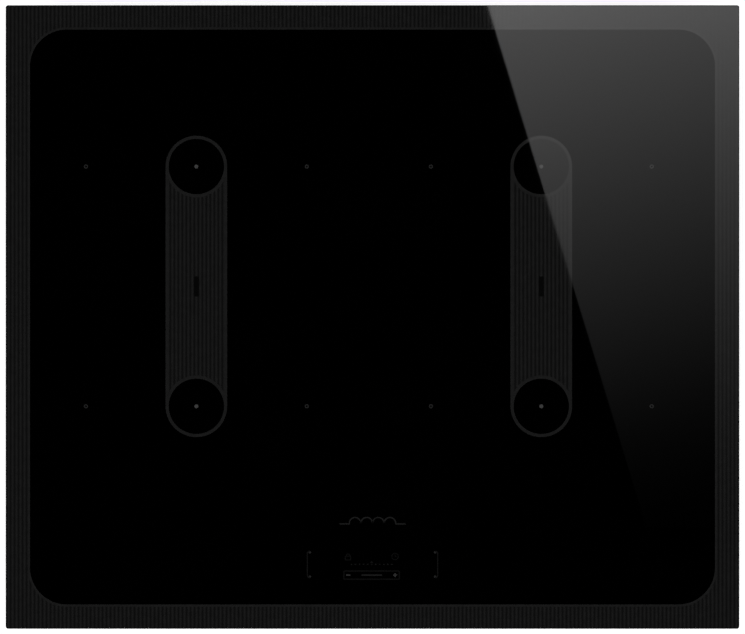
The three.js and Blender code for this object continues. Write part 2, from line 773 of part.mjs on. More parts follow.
function terminalBlock() {
  const { ways, pitch, depth, height, well, wellFloor } = TERMINAL_BLOCK;
  const { rib, mouthFront, mouthBottom, mouthTop } = TERMINAL_BLOCK;
  const body = block([0, ways * pitch], [0, depth], [0, height]);
  const places = Array.from({ length: ways }, (_, i) => i * pitch);
  const wells = places.map((x) =>
    disc(well, wellFloor, height + REACH, 12).translate(x + pitch / 2, depth / 3, 0),
  );
  const mouths = places.map((x) =>
    block([x + rib, x + pitch - rib], [mouthFront, depth + REACH], [mouthBottom, mouthTop]),
  );
  return shaped([body], [...wells, ...mouths]);
}

// The lid hangs from a hinge pin along its upper edge and lies on the box's rear face.
function terminalCover() {
  const { rear } = TERMINAL_BOX;
  const { left, right, hingeZ, bottom, sheet, pin, knuckle } = LID;
  const face = block([left + 1, right - 1], [rear + LID_GAP, rear + LID_GAP + sheet], [bottom, hingeZ]);
  const barrel = rodAlongX(knuckle, left + 1, right - 1, LID_AXIS_Y, hingeZ);
  const bore = rodAlongX(pin + 0.09, left - REACH, right + REACH, LID_AXIS_Y, hingeZ);
  const raised = ({ inset, height, proud }, foot) =>
    block([left + inset, right - inset], [rear + 1, rear + proud], [foot, foot + height]);
  const grip = raised(LID_GRIP, bottom);
  const ridges = Array.from({ length: LID_RIDGE.count }, (_, i) =>
    raised(LID_RIDGE, bottom + LID_RIDGE.lift + i * LID_RIDGE.pitch),
  );
  return shaped([face, barrel, grip, ...ridges], [bore]);
}

// ---------------------------------------------------------------- control and wiring
function touchCarrier() {
  const { halfX, front, rear, bottom, top, wall } = CONTROL;
  const tray = block([-halfX, halfX], [front, rear], [bottom, top]);
  const hollow = block(
    [-halfX + wall, halfX - wall], [front + wall, rear - wall], [bottom + wall, top + 1],
  );
  const { places, halfWidth: half, height } = CONTROL_POST;
  const along = [front + CONTROL_POST.front, front + CONTROL_POST.rear];
  const posts = places.map((x) =>
    block([x - half, x + half], along, [bottom + wall / 2, bottom + height]),
  );
  const window = block(
    [RIBBON.x - RIBBON.halfWidth - 1, RIBBON.x + RIBBON.halfWidth + 1],
    [RIBBON.y - 4, RIBBON.y + 6],
    [bottom - 1, bottom + 2],
  );
  return shaped([shaped([tray], [hollow]), ...posts], [window]);
}

function touchBoard() {
  const { halfX, front, rear, bottom, wall } = CONTROL;
  const shape = roundedRect(halfX - wall - 0.5, (rear - front) / 2 - wall - 0.5, 2);
  const low = bottom + CONTROL_POST.height + 0.1;
  return plate(shape, low, low + BOARD.thickness, 2);
}

function supplyLead(side) {
  return wireAlong(SUPPLY_ROUTE.map(([x, y, z]) => [side * x, y, z]), WIRE.supply, 12);
}

function ribbonCable() {
  const { halfWidth: across, halfThickness: thin } = RIBBON;
  const extrudePath = new THREE.CatmullRomCurve3(RIBBON_ROUTE.map((p) => new THREE.Vector3(...p)));
  const strip = outline([[-across, -thin], [across, -thin], [across, thin], [-across, thin]]);
  return new THREE.ExtrudeGeometry(strip, { steps: 16, extrudePath, bevelEnabled: false });
}

function wiring() {
  return [
    named("mains_lead", wireAlong(MAINS_ROUTE, WIRE.mains, 10), wireInsulation),
    named("left_supply_lead", supplyLead(-1), wireInsulation),
    named("right_supply_lead", supplyLead(1), wireInsulation),
    named("control_ribbon", ribbonCable(), ribbonPlastic),
  ];
}

// ---------------------------------------------------------------- the whole cooktop
const cooktop = new THREE.Group();
cooktop.add(
  named("glass_panel", glassPanel(), blackGlass, 0, 0, CASING.height),
  named("rim_seal", rimSeal(), sealFoam, 0, 0, CASING.height),
  rails(),
  named("base_tray", baseTray(), galvanisedSteel),
  clamps(),
  named("left_shield_plate", shieldPlate("left"), aluminiumSheet, ZONE_X.left),
  named("right_shield_plate", shieldPlate("right"), aluminiumSheet, ZONE_X.right),
  coils(),
  coolingSide("left", -1),
  coolingSide("right", 1),
  named(
    "filter_board", board(FILTER.width, FILTER.length, BOARD.bottom, FLOOR + 0.1),
    circuitBoard, 0, FILTER.y,
  ),
  named("filter_choke", choke(), chokeFerrite, CHOKE.x, CHOKE.y),
  named("terminal_box", terminalBox(), terminalPlastic),
  named(
    "terminal_block", terminalBlock(), terminalCream,
    TERMINAL_BOX.left + 4, TERMINAL_BOX.front + 3, TERMINAL_BOX.bottom + TERMINAL_BOX.wall + 0.1,
  ),
  named("terminal_cover", terminalCover(), terminalPlastic),
  named("touch_board_carrier", touchCarrier(), fanPlastic),
  named("touch_board", touchBoard(), circuitBoard, 0, (CONTROL.front + CONTROL.rear) / 2),
  ...wiring(),
);

export default cooktop;
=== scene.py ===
"""Looks for a built-in induction cooktop: the enamel print on its glass, its metal and plastic
finishes, and the small parts that the CAD model leaves out. The frame is the CAD model's: +X right,
+Y rear, +Z up. Shapes are worked out in millimetres and become metres when a piece is made. A piece
that replaces a CAD node takes its place from the node's box. The print, the board components and the
parts on the tray's walls have dimensions of their own, named beside the functions that use them."""

import json
import math

import bmesh
import bpy
from mathutils import Matrix, Vector
from mathutils.geometry import tessellate_polygon

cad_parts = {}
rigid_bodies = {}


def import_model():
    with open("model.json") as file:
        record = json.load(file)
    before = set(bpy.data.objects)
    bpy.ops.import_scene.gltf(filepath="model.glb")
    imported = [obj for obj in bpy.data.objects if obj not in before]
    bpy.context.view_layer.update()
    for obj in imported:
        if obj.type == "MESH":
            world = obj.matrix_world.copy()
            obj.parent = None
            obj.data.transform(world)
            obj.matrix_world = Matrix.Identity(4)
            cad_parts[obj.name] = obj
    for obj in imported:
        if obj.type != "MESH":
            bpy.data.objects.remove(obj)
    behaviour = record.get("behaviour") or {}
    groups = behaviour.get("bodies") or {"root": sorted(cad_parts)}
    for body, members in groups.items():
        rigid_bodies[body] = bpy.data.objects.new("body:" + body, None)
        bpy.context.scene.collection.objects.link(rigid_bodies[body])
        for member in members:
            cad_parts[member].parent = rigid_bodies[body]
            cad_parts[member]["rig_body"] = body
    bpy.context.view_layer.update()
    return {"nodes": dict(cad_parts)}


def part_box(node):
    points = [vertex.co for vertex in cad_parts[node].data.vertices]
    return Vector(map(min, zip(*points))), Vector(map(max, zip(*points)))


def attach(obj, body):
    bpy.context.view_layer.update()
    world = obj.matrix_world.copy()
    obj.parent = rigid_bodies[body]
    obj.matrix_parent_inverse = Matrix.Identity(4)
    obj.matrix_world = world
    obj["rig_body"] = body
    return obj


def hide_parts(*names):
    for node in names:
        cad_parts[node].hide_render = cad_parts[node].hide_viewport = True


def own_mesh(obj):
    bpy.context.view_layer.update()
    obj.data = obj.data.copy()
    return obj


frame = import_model()

MM = 0.001
TAU = 2 * math.pi
SIDES = {"left": -1, "right": 1}
ROWS = ("rear", "front")
COILS = [f"{row}_{side}" for side in SIDES for row in ROWS]


def box(node):
    """The lowest and highest corners of a CAD node, in millimetres."""
    low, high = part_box(node)
    return low / MM, high / MM


def centre(node):
    low, high = box(node)
    return (low + high) / 2


def body_of(node):
    return frame["nodes"][node]["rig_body"]


GLASS = box("glass_panel")[1]
TRAY = box("base_tray")[1]
GLASS_IOR = 1.5


# ------------------------------------------------------------------ node materials
def add_node(tree, kind, settings=None, inputs=None):
    node = tree.nodes.new(kind)
    for key, value in (settings or {}).items():
        setattr(node, key, value)
    for key, value in (inputs or {}).items():
        if isinstance(value, bpy.types.NodeSocket):
            tree.links.new(value, node.inputs[key])
        else:
            node.inputs[key].default_value = value
    return node


def math_node(tree, operation, first, second=0.0):
    node = add_node(tree, "ShaderNodeMath", {"operation": operation}, {0: first, 1: second})
    return node.outputs[0]


def linear(level):
    """The linear light of a display level between 0 and 255."""
    value = level / 255
    return value / 12.92 if value <= 0.04045 else ((value + 0.055) / 1.055) ** 2.4


def grey(level, share=1.0):
    value = linear(level) * share
    return (value, value, value, 1)


def object_space(tree, scale=(1, 1, 1)):
    """Object coordinates in millimetres, stretched by scale."""
    place = add_node(tree, "ShaderNodeTexCoord").outputs["Object"]
    stretch = [s / MM for s in scale]
    inputs = {0: place, 1: stretch}
    return add_node(tree, "ShaderNodeVectorMath", {"operation": "MULTIPLY"}, inputs).outputs[0]


def noise(tree, place, size_mm, detail=3.0):
    inputs = {"Vector": place, "Scale": 1 / size_mm, "Detail": detail}
    return add_node(tree, "ShaderNodeTexNoise", inputs=inputs).outputs["Fac"]


def remap(tree, value, source, target):
    """The value, clamped to the source range, mapped to the target range."""
    sockets = ("Value", "From Min", "From Max", "To Min", "To Max")
    inputs = dict(zip(sockets, (value, *source, *target)))
    return add_node(tree, "ShaderNodeMapRange", inputs=inputs).outputs["Result"]


def spread(tree, value, low, high):
    """A noise value, mostly between 0.3 and 0.7, mapped to the range low to high."""
    return remap(tree, value, (0.3, 0.7), (low, high))


def mix(tree, factor, first, second):
    inputs = {0: factor, 6: first, 7: second}
    return add_node(tree, "ShaderNodeMix", {"data_type": "RGBA"}, inputs).outputs[2]


def mix_float(tree, factor, first, second):
    inputs = {0: factor, 2: first, 3: second}
    return add_node(tree, "ShaderNodeMix", {"data_type": "FLOAT"}, inputs).outputs[0]


def bump(tree, height, depth_mm, strength=1.0):
    inputs = {"Height": height, "Distance": depth_mm * MM, "Strength": strength}
    return add_node(tree, "ShaderNodeBump", inputs=inputs).outputs["Normal"]


def shader(name, settings):
    """A new material and its tree, with plain numbers set on the Principled shader's sockets."""
    material = bpy.data.materials.new(name)
    material.use_nodes = True
    tree = material.node_tree
    principled = tree.nodes["Principled BSDF"]
    for key, value in settings.items():
        principled.inputs[key].default_value = value
    return material, tree, principled


def connect(tree, principled, links):
    for key, socket in links.items():
        tree.links.new(socket, principled.inputs[key])


def rgb(red, green, blue):
    return (red, green, blue, 1)


def mottled(name, dark, light, size, rough, relief=0.0, stretch=(1, 1, 1), grain=None, **settings):
    """A finish whose colour and roughness drift between two values, with a fine relief. Size, relief
    and grain are in millimetres."""
    material, tree, principled = shader(name, settings)
    place = object_space(tree, stretch)
    drift = noise(tree, place, size)
    fine = noise(tree, place, grain or size / 4, 2.0)
    links = {
        "Base Color": mix(tree, spread(tree, drift, 0, 1), dark, light),
        "Roughness": spread(tree, fine, *rough),
    }
    if relief:
        links["Normal"] = bump(tree, fine, relief)
    connect(tree, principled, links)
    return material


def black_glass():
    """Black glass with a mirror face. Where the face turns away, its ground edge is rough and dull."""
    material, tree, principled = shader("black_glass", {"IOR": GLASS_IOR})
    place = object_space(tree)
    smudge = noise(tree, place, 60.0, 4.0)
    grain = noise(tree, place, 0.35, 2.0)
    normal = add_node(tree, "ShaderNodeNewGeometry").outputs["Normal"]
    upward = add_node(tree, "ShaderNodeSeparateXYZ", inputs={0: normal}).outputs["Z"]
    ground = remap(tree, upward, (0.9, 0.999), (1, 0))
    face = mix(tree, spread(tree, smudge, 0, 1), grey(0), grey(0.4))
    edge = mix(tree, spread(tree, grain, 0, 1), grey(1), grey(4))
    rough = mix_float(tree, ground, spread(tree, smudge, 0.01, 0.02), spread(tree, grain, 0.6, 0.85))
    connect(tree, principled, {"Base Color": mix(tree, ground, face, edge), "Roughness": rough})
    return material


# How much brighter than its own colour the studio makes a level surface.
STUDIO_GAIN = 0.85


def enamel(name, level, rough=0.018):
    """Enamel printed on the glass, of one level as the camera sees it, uneven in tone and gloss."""
    dark, light = (grey(level * share, 1 / STUDIO_GAIN) for share in (0.93, 1.07))
    return mottled(
        name, dark, light, 6.0, (rough, rough * 2), grain=1.2, **{"Specular IOR Level": 0.68}
    )


def galvanised():
    """Zinc-coated sheet: a spangle of flat crystals, each with its own tone and gloss."""
    material, tree, principled = shader("galvanised_sheet", {"Metallic": 1.0})
    place = object_space(tree)
    crystals = add_node(tree, "ShaderNodeTexVoronoi", inputs={"Vector": place, "Scale": 1 / 5})
    split = add_node(tree, "ShaderNodeSeparateColor", inputs={0: crystals.outputs["Color"]})
    tone = split.outputs["Red"]
    links = {
        "Base Color": mix(tree, tone, rgb(0.4, 0.415, 0.425), rgb(0.49, 0.5, 0.51)),
        "Roughness": remap(tree, tone, (0, 1), (0.32, 0.42)),
        "Normal": bump(tree, noise(tree, place, 1.2, 2.0), 0.02, 0.5),
    }
    connect(tree, principled, links)
    return material


def solder_mask():
    """Green solder mask over copper tracks, which stand a little proud and lighter."""
    material, tree, principled = shader("solder_mask", {"Coat Weight": 0.3, "Coat Roughness": 0.2})
    place = object_space(tree)
    settings = {"feature": "F2", "distance": "CHEBYCHEV"}
    inputs = {"Vector": place, "Scale": 1 / 7, "Randomness": 0.8}
    cells = add_node(tree, "ShaderNodeTexVoronoi", settings, inputs).outputs["Distance"]
    bands = math_node(tree, "PINGPONG", cells, 0.09)
    track = remap(tree, bands, (0.045, 0.055), (0, 1))
    links = {
        "Base Color": mix(tree, track, rgb(0.006, 0.07, 0.028), rgb(0.014, 0.14, 0.055)),
        "Roughness": spread(tree, noise(tree, place, 3.0), 0.3, 0.42),
        "Normal": bump(tree, track, 0.035),
    }
    connect(tree, principled, links)
    return material


def litz(where):
    """Bundled enamelled wire: its strands' twist crosses each turn of the coil on a slant. The same
    stripes that give the strands their relief colour the grooves between them darker, as painted
    shade.
    """
    material, tree, principled = shader(f"litz_wire_{where}", {"Metallic": 0.65})
    place = object_space(tree)
    middle = centre(f"{where}_coil_winding")
    inputs = {0: place, 1: (middle.x, middle.y, 0)}
    local = add_node(tree, "ShaderNodeVectorMath", {"operation": "SUBTRACT"}, inputs).outputs[0]
    split = add_node(tree, "ShaderNodeSeparateXYZ", inputs={0: local}).outputs
    length = add_node(tree, "ShaderNodeVectorMath", {"operation": "LENGTH"}, {0: local})
    angle = math_node(tree, "ARCTAN2", split["Y"], split["X"])
    slant = math_node(tree, "MULTIPLY", length.outputs["Value"], 3.0)
    phase = math_node(tree, "ADD", math_node(tree, "MULTIPLY", angle, 150.0), slant)
    strand_and_groove_shade = remap(tree, math_node(tree, "SINE", phase), (-1, 1), (0, 1))
    links = {
        # Painted shade: the grooves between the strands are coloured darker than their crowns.
        "Base Color": mix(tree, strand_and_groove_shade, rgb(0.2, 0.06, 0.022), rgb(0.52, 0.2, 0.08)),
        "Roughness": spread(tree, noise(tree, place, 2.0), 0.3, 0.45),
        "Normal": bump(tree, strand_and_groove_shade, 0.12),
    }
    connect(tree, principled, links)
    return material


def make_materials():
    """Every finish by name, apart from the litz, whose twist runs round its own coil."""
    steel = {"Metallic": 1.0}
    enamels = {
        "field": 15, "stripe": 25, "outline": 26, "slot": 7, "faint": 14, "thin": 18, "symbol": 27,
        "mark": 34, "key": 46, "bright": 60,
    }
    made = {name: enamel(f"enamel_{name}", level) for name, level in enamels.items()}
    made["black"] = enamel("enamel_black", 0.3, 0.01)
    made["glass"] = black_glass()
    made["galvanised"] = galvanised()
    made["solder_mask"] = solder_mask()
    # name: dark, light, size, rough, relief, stretch, grain, settings
    plain = {
        "seal": ((0.012, 0.012, 0.013), (0.03, 0.03, 0.031), 1.2, (0.85, 1.0), 0.25),
        "mica": ((0.33, 0.27, 0.17), (0.62, 0.56, 0.43), 5.0, (0.25, 0.55), 0.02),
        "former": ((0.028, 0.028, 0.03), (0.05, 0.05, 0.052), 8.0, (0.5, 0.68), 0.03),
        "sensor": ((0.62, 0.6, 0.54), (0.78, 0.76, 0.7), 4.0, (0.45, 0.6), 0.02),
        "black_plastic": ((0.012, 0.012, 0.013), (0.026, 0.026, 0.028), 6.0, (0.42, 0.6), 0.02),
        "grey_plastic": ((0.09, 0.095, 0.1), (0.14, 0.145, 0.15), 15.0, (0.5, 0.65), 0.03),
        "ferrite": ((0.03, 0.03, 0.032), (0.075, 0.075, 0.08), 1.5, (0.55, 0.75), 0.04),
        "cream": ((0.6, 0.55, 0.42), (0.72, 0.67, 0.54), 6.0, (0.4, 0.55), 0.02),
        "film_case": ((0.42, 0.3, 0.06), (0.52, 0.38, 0.09), 5.0, (0.35, 0.5), 0.02),
        "relay_case": ((0.02, 0.05, 0.12), (0.03, 0.07, 0.16), 5.0, (0.3, 0.45), 0.02),
        "black_sleeve": ((0.012, 0.012, 0.013), (0.03, 0.03, 0.031), 4.0, (0.3, 0.45), 0.02),
        "brown_sleeve": ((0.1, 0.035, 0.015), (0.14, 0.05, 0.022), 4.0, (0.3, 0.45), 0.02),
        "blue_sleeve": ((0.015, 0.06, 0.24), (0.02, 0.08, 0.32), 4.0, (0.3, 0.45), 0.02),
    }
    for name, (dark, light, size, rough, relief) in plain.items():
        grain = min(size / 4, 0.6)
        made[name] = mottled(name, rgb(*dark), rgb(*light), size, rough, relief, grain=grain)
    metals = {
        "clamp": ((0.5, 0.5, 0.47), (0.66, 0.66, 0.63), 12.0, (0.25, 0.42), (1, 0.12, 1)),
        "screw": ((0.6, 0.61, 0.62), (0.78, 0.78, 0.77), 4.0, (0.18, 0.32), (1, 1, 1)),
        "aluminium": ((0.68, 0.69, 0.7), (0.82, 0.83, 0.84), 20.0, (0.3, 0.45), (1, 0.06, 1)),
        "brass": ((0.6, 0.42, 0.16), (0.74, 0.54, 0.24), 3.0, (0.22, 0.36), (1, 1, 1)),
        "copper": ((0.42, 0.14, 0.05), (0.62, 0.24, 0.1), 2.0, (0.2, 0.34), (1, 1, 1)),
        "plate": ((0.3, 0.31, 0.32), (0.36, 0.37, 0.38), 10.0, (0.4, 0.5), (0.08, 1, 1)),
    }
    for name, (dark, light, size, rough, stretch) in metals.items():
        made[name] = mottled(
            name, rgb(*dark), rgb(*light), size, rough, 0.01, stretch, 0.5, **steel
        )
    made["ribbon"] = mottled(
        "ribbon", rgb(0.5, 0.5, 0.48), rgb(0.66, 0.66, 0.63), 1.3, (0.35, 0.5), 0.02, (1, 0.02, 1)
    )
    return made


MATERIALS = make_materials()


# ------------------------------------------------------------------ mesh helpers
SHARP_ANGLE = math.radians(35)


def signed_area(points):
    """Twice the area of an outline, positive where it runs counter-clockwise."""
    ahead = points[1:] + points[:1]
    return sum(p[0] * q[1] - q[0] * p[1] for p, q in zip(points, ahead))


def stacked(loops, levels, recesses=(), depth=0.0):
    """A closed solid over an outline, the first loop, with holes, the other loops. The outline is
    scaled about its middle at each (height, scale) level. Recesses are cut to a depth into the top,
    or into the foot where the depth is negative."""
    verts, faces = [], []
    middle = sum((Vector(p) for p in loops[0]), Vector((0, 0))) / len(loops[0])

    def ring(points, z, scale=1.0):
        start = len(verts)
        for point in points:
            x, y = middle + (Vector(point) - middle) * scale
            verts.append((x, y, z))
        return list(range(start, len(verts)))

    def wall(foot, head, outward):
        forward = (signed_area([verts[i] for i in foot]) > 0) == outward
        for a, b, c, d in zip(foot, foot[1:] + foot[:1], head[1:] + head[:1], head):
            faces.append((a, b, c, d) if forward else (d, c, b, a))

    def cap(rings, upward):
        flat = [i for indices in rings for i in indices]
        if len(rings) == 1:
            forward = (signed_area([verts[i] for i in flat]) > 0) == upward
            faces.append(tuple(flat if forward else reversed(flat)))
            return
        corners = [[Vector(verts[i]) for i in indices] for indices in rings]
        triangles = [[flat[i] for i in corner] for corner in tessellate_polygon(corners)]
        turn = sum(signed_area([verts[i] for i in triangle]) for triangle in triangles)
        forward = (turn > 0) == upward
        faces.extend(tuple(t if forward else reversed(t)) for t in triangles)

    stack = [ring(loops[0], z, scale) for z, scale in levels]
    for foot, head in zip(stack, stack[1:]):
        wall(foot, head, True)
    low, high = levels[0][0], levels[-1][0]
    feet, heads = [stack[0]], [stack[-1]]
    for hole in loops[1:]:
        feet.append(ring(hole, low))
        heads.append(ring(hole, high))
        wall(feet[-1], heads[-1], False)
    from_top = depth > 0
    for recess in recesses:
        mouth = ring(recess, high if from_top else low)
        end = ring(recess, (high if from_top else low) - depth)
        (heads if from_top else feet).append(mouth)
        wall(*((end, mouth) if from_top else (mouth, end)), False)
        cap([end], from_top)
    cap(feet, False)
    cap(heads, True)
    return verts, faces


def prism(loops, low, high, top_scale=1.0):
    return stacked(loops, [(low, 1.0), (high, top_scale)])


def turned(profile, steps=64):
    """A solid of revolution about Z. The profile's (radius, height) points run counter-clockwise, and
    it is closed on itself unless it starts and ends on the axis."""
    verts, rings = [], []
    for radius, height in profile:
        count = steps if radius > 0 else 1
        rings.append((len(verts), count))
        verts += [
            (radius * math.cos(TAU * i / steps), radius * math.sin(TAU * i / steps), height)
            for i in range(count)
        ]
    pairs = list(zip(rings, rings[1:]))
    if profile[0][0] > 0:
        pairs.append((rings[-1], rings[0]))
    faces = []
    for (low, low_count), (high, high_count) in pairs:
        for i in range(steps):
            j = (i + 1) % steps
            foot = [low + i, low + j] if low_count > 1 else [low]
            head = [high + j, high + i] if high_count > 1 else [high]
            if len(foot) + len(head) > 2:
                faces.append(tuple(foot + head))
    return verts, faces


def framed(points):
    """Each point of a path with two directions square to it, carried along without twisting."""
    last = len(points) - 1
    normal = (points[1] - points[0]).orthogonal()
    for i, point in enumerate(points):
        along = (points[min(i + 1, last)] - points[max(i - 1, 0)]).normalized()
        normal = (normal - along * normal.dot(along)).normalized()
        yield point, normal, along.cross(normal)


def tube(points, radius, sides=10):
    """A round wire along the points, with flat ends."""
    points = [Vector(point) for point in points]
    last = len(points) - 1
    verts = []
    for point, normal, across in framed(points):
        for j in range(sides):
            turn = TAU * j / sides
            verts.append(point + radius * (math.cos(turn) * normal + math.sin(turn) * across))
    faces = []
    for i in range(last):
        for j in range(sides):
            a, b = i * sides + j, i * sides + (j + 1) % sides
            faces.append((a, b, b + sides, a + sides))
    faces.append(tuple(reversed(range(sides))))
    faces.append(tuple(range(last * sides, (last + 1) * sides)))
    return verts, faces


def helix(radius, steps, heights):
    """Points round Z, so many steps to a turn, one at each height."""
    turns = (TAU * i / steps for i in range(len(heights)))
    return [(radius * math.cos(t), radius * math.sin(t), z) for t, z in zip(turns, heights)]


def rounded_box(x, y, z, radius=0.6, segments=2):
    """A block between the pairs x, y and z with rounded edges."""
    mesh = bmesh.new()
    size = Matrix.Diagonal((x[1] - x[0], y[1] - y[0], z[1] - z[0], 1))
    middle = Matrix.Translation([(pair[0] + pair[1]) / 2 for pair in (x, y, z)])
    bmesh.ops.create_cube(mesh, size=1, matrix=middle @ size)
    bmesh.ops.bevel(
        mesh, geom=mesh.edges[:], offset=radius, segments=segments, affect="EDGES", profile=0.5
    )
    mesh.verts.index_update()
    part = [tuple(v.co) for v in mesh.verts], [tuple(v.index for v in f.verts) for f in mesh.faces]
    mesh.free()
    return part


def joined(parts):
    verts, faces = [], []
    for part_verts, part_faces in parts:
        start = len(verts)
        verts += part_verts
        faces += [tuple(i + start for i in face) for face in part_faces]
    return verts, faces


def moved(part, matrix):
    verts, faces = part
    return [tuple(matrix @ Vector(v)) for v in verts], faces


def shifted(part, x, y, z=0.0):
    return moved(part, Matrix.Translation((x, y, z)))


def spun(part, angle):
    return moved(part, Matrix.Rotation(angle, 4, "Z"))


def linked(name, data):
    """A new object of a mesh, light or camera, in the scene."""
    obj = bpy.data.objects.new(name, data)
    bpy.context.scene.collection.objects.link(obj)
    return obj


def meshed(name, part):
    verts, faces = part
    mesh = bpy.data.meshes.new(name)
    mesh.from_pydata([Vector(v) * MM for v in verts], [], faces)
    return mesh


def piece(name, part, material, slot, replaces=(), body="casing", smooth=True):
    """Makes the scene's object of a part in millimetres, riding on a body."""
    mesh = meshed(name, part)
    mesh.validate()
    if smooth:
        mesh.shade_smooth()
        mesh.set_sharp_from_angle(angle=SHARP_ANGLE)
    obj = linked(name, mesh)
    mesh.materials.append(MATERIALS.get(material) or material)
    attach(obj, body)
    if replaces:
        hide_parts(*replaces)
    return obj


def arc(x, y, radius, start, end, steps):
    return [
        (x + radius * math.cos(a), y + radius * math.sin(a))
        for a in (start + (end - start) * i / steps for i in range(steps + 1))
    ]


def circle(x, y, radius, steps=48):
    return arc(x, y, radius, 0, TAU * (steps - 1) / steps, steps - 1)


def rounded_rect(x, y, half_x, half_y, radius, steps=12):
    points = []
    corners = ((1, 1), (-1, 1), (-1, -1), (1, -1))
    for quarter, (sx, sy) in enumerate(corners):
        cx, cy = x + sx * (half_x - radius), y + sy * (half_y - radius)
        points += arc(cx, cy, radius, quarter * TAU / 4, (quarter + 1) * TAU / 4, steps)
    return points


def stadium(x, low_y, high_y, radius, steps=32):
    return arc(x, high_y, radius, 0, TAU / 2, steps) + arc(x, low_y, radius, TAU / 2, TAU, steps)


def stroke(path, width):
    """The outline of an open stroke with square ends and mitred bends."""
    points = [Vector(point) for point in path]
    steps = [(b - a).normalized() for a, b in zip(points, points[1:])]
    left, right = [], []
    for point, before, after in zip(points, steps[:1] + steps, steps + steps[-1:]):
        along = (before + after).normalized()
        across = Vector((-along.y, along.x)) * width / 2 / along.dot(after)
        left.append(tuple(point + across))
        right.append(tuple(point - across))
    return right + left[::-1]


def cross_outline(half, half_width):
    """A plus sign, counter-clockwise."""
    h, w = half, half_width
    return [
        (h, -w), (h, w), (w, w), (w, h), (-w, h), (-w, w),
        (-h, w), (-h, -w), (-w, -w), (-w, -h), (w, -h), (w, -w),
    ]


def smooth_path(points, steps=8):
    """A smooth curve through the points."""
    points = [Vector(p) for p in points]
    ends = [2 * points[0] - points[1], *points, 2 * points[-1] - points[-2]]
    path = []
    for a, b, c, d in zip(ends, ends[1:], ends[2:], ends[3:]):
        for i in range(steps):
            t = i / steps
            path.append(
                0.5 * (2 * b + (c - a) * t + (2 * a - 5 * b + 4 * c - d) * t**2
                       + (3 * b - a - 3 * c + d) * t**3)
            )
    return path + [points[-1]]


# ------------------------------------------------------------------ enamel print on the glass
# The print's own dimensions, in millimetres. Layers are heights above the glass.
BORDER = {"width": 20.0, "radius": 30.0, "outline": 1.8, "edge": 0.9}
STRIPE = {"pitch": 3.27, "width": 1.63}
BAND = {"half_width": 25.2, "line": 1.8, "ring": 2.6, "dot": 1.6}
BAND_SLOT = {"half_width": 2.0, "half_length": 8.2}
ZONE_MARK = {"reach": 90.3, "outer": 1.7, "inner": 0.8}
LAYERS = {
    "field": 0.02, "stripe": 0.03, "outline": 0.035, "disc": 0.045, "ring": 0.055, "mark": 0.065,
}
SUNK = 0.02


def printed(name, shapes, layer, material):
    """One colour of the print as a thin solid fused into the glass's surface."""
    low, high = GLASS.z - SUNK, GLASS.z + LAYERS[layer]
    part = joined([prism(loops, low, high) for loops in shapes])
    return piece(name, part, material, "ceramic_glass", smooth=False)


def border_print():
    outer_x, outer_y = GLASS.x - BORDER["edge"], GLASS.y - BORDER["edge"]
    inner_x, inner_y = GLASS.x - BORDER["width"], GLASS.y - BORDER["width"]
    radius, line = BORDER["radius"], BORDER["outline"]
    outer = rounded_rect(0, 0, outer_x, outer_y, 1.2, 4)
    inner = rounded_rect(0, 0, inner_x, inner_y, radius, 24)
    ring = rounded_rect(0, 0, inner_x + line, inner_y + line, radius + line, 24)
    printed("border_field", [[outer, inner]], "field", "field")
    printed("border_outline", [[ring, inner]], "outline", "outline")

    def inner_edge(x):
        """How far from the middle the striped field starts, or None beside the black panel."""
        beyond = abs(x) - (inner_x - radius)
        reach = radius + line
        if beyond >= reach:
            return None
        return inner_y - radius + math.sqrt(reach**2 - max(beyond, 0) ** 2)

    stripes = []
    half = STRIPE["width"] / 2
    count = int((outer_x - half) / STRIPE["pitch"])
    for i in range(-count, count + 1):
        x = i * STRIPE["pitch"]
        left, right = x - half, x + half
        edges = inner_edge(left), inner_edge(right)
        if None in edges:
            stripes.append([stroke([(x, -outer_y), (x, outer_y)], 2 * half)])
            continue
        for side in (1, -1):
            foot = [(left, side * edges[0]), (right, side * edges[1])]
            stripes.append([foot + [(right, side * outer_y), (left, side * outer_y)]])
    printed("border_pinstripes", stripes, "stripe", "stripe")


def band_print(side):
    x, high, _ = centre(f"rear_{side}_coil_winding")
    low = centre(f"front_{side}_coil_winding").y
    half, line = BAND["half_width"], BAND["line"]
    outside, inside = stadium(x, low, high, half), stadium(x, low, high, half - line)
    name = f"{side}_band"
    printed(f"{name}_field", [[outside]], "field", "field")
    printed(f"{name}_outline", [[outside, inside]], "outline", "outline")
    pitch, width = STRIPE["pitch"], STRIPE["width"]
    count = int((half - line) / pitch)
    stripes = []
    for i in range(-count, count + 1):
        edges = i * pitch - width / 2, i * pitch + width / 2
        reach = [math.sqrt((half - 0.5) ** 2 - edge**2) for edge in edges]
        foot = [(x + edge, low + r) for edge, r in zip(edges, reach)]
        head = [(x + edge, high - r) for edge, r in zip(edges, reach)]
        stripes.append([foot + head[::-1]])
    printed(f"{name}_pinstripes", stripes, "stripe", "stripe")
    ends = (low, high)
    printed(f"{name}_discs", [[circle(x, y, half - 0.1, 96)] for y in ends], "disc", "black")
    rings = [[circle(x, y, half, 96), circle(x, y, half - BAND["ring"], 96)] for y in ends]
    printed(f"{name}_rings", rings, "ring", "outline")
    printed(f"{name}_dots", [[circle(x, y, BAND["dot"], 24)] for y in ends], "mark", "bright")
    slot = rounded_rect(x, (low + high) / 2, *BAND_SLOT.values(), 0.6, 4)
    printed(f"{name}_slot", [[slot]], "mark", "slot")
    reach, outer, inner = ZONE_MARK.values()
    marks = [
        [circle(x + dx, y, outer, 24), circle(x + dx, y, inner, 24)]
        for y in ends
        for dx in (-reach, reach)
    ]
    printed(f"{side}_zone_marks", marks, "mark", "mark")


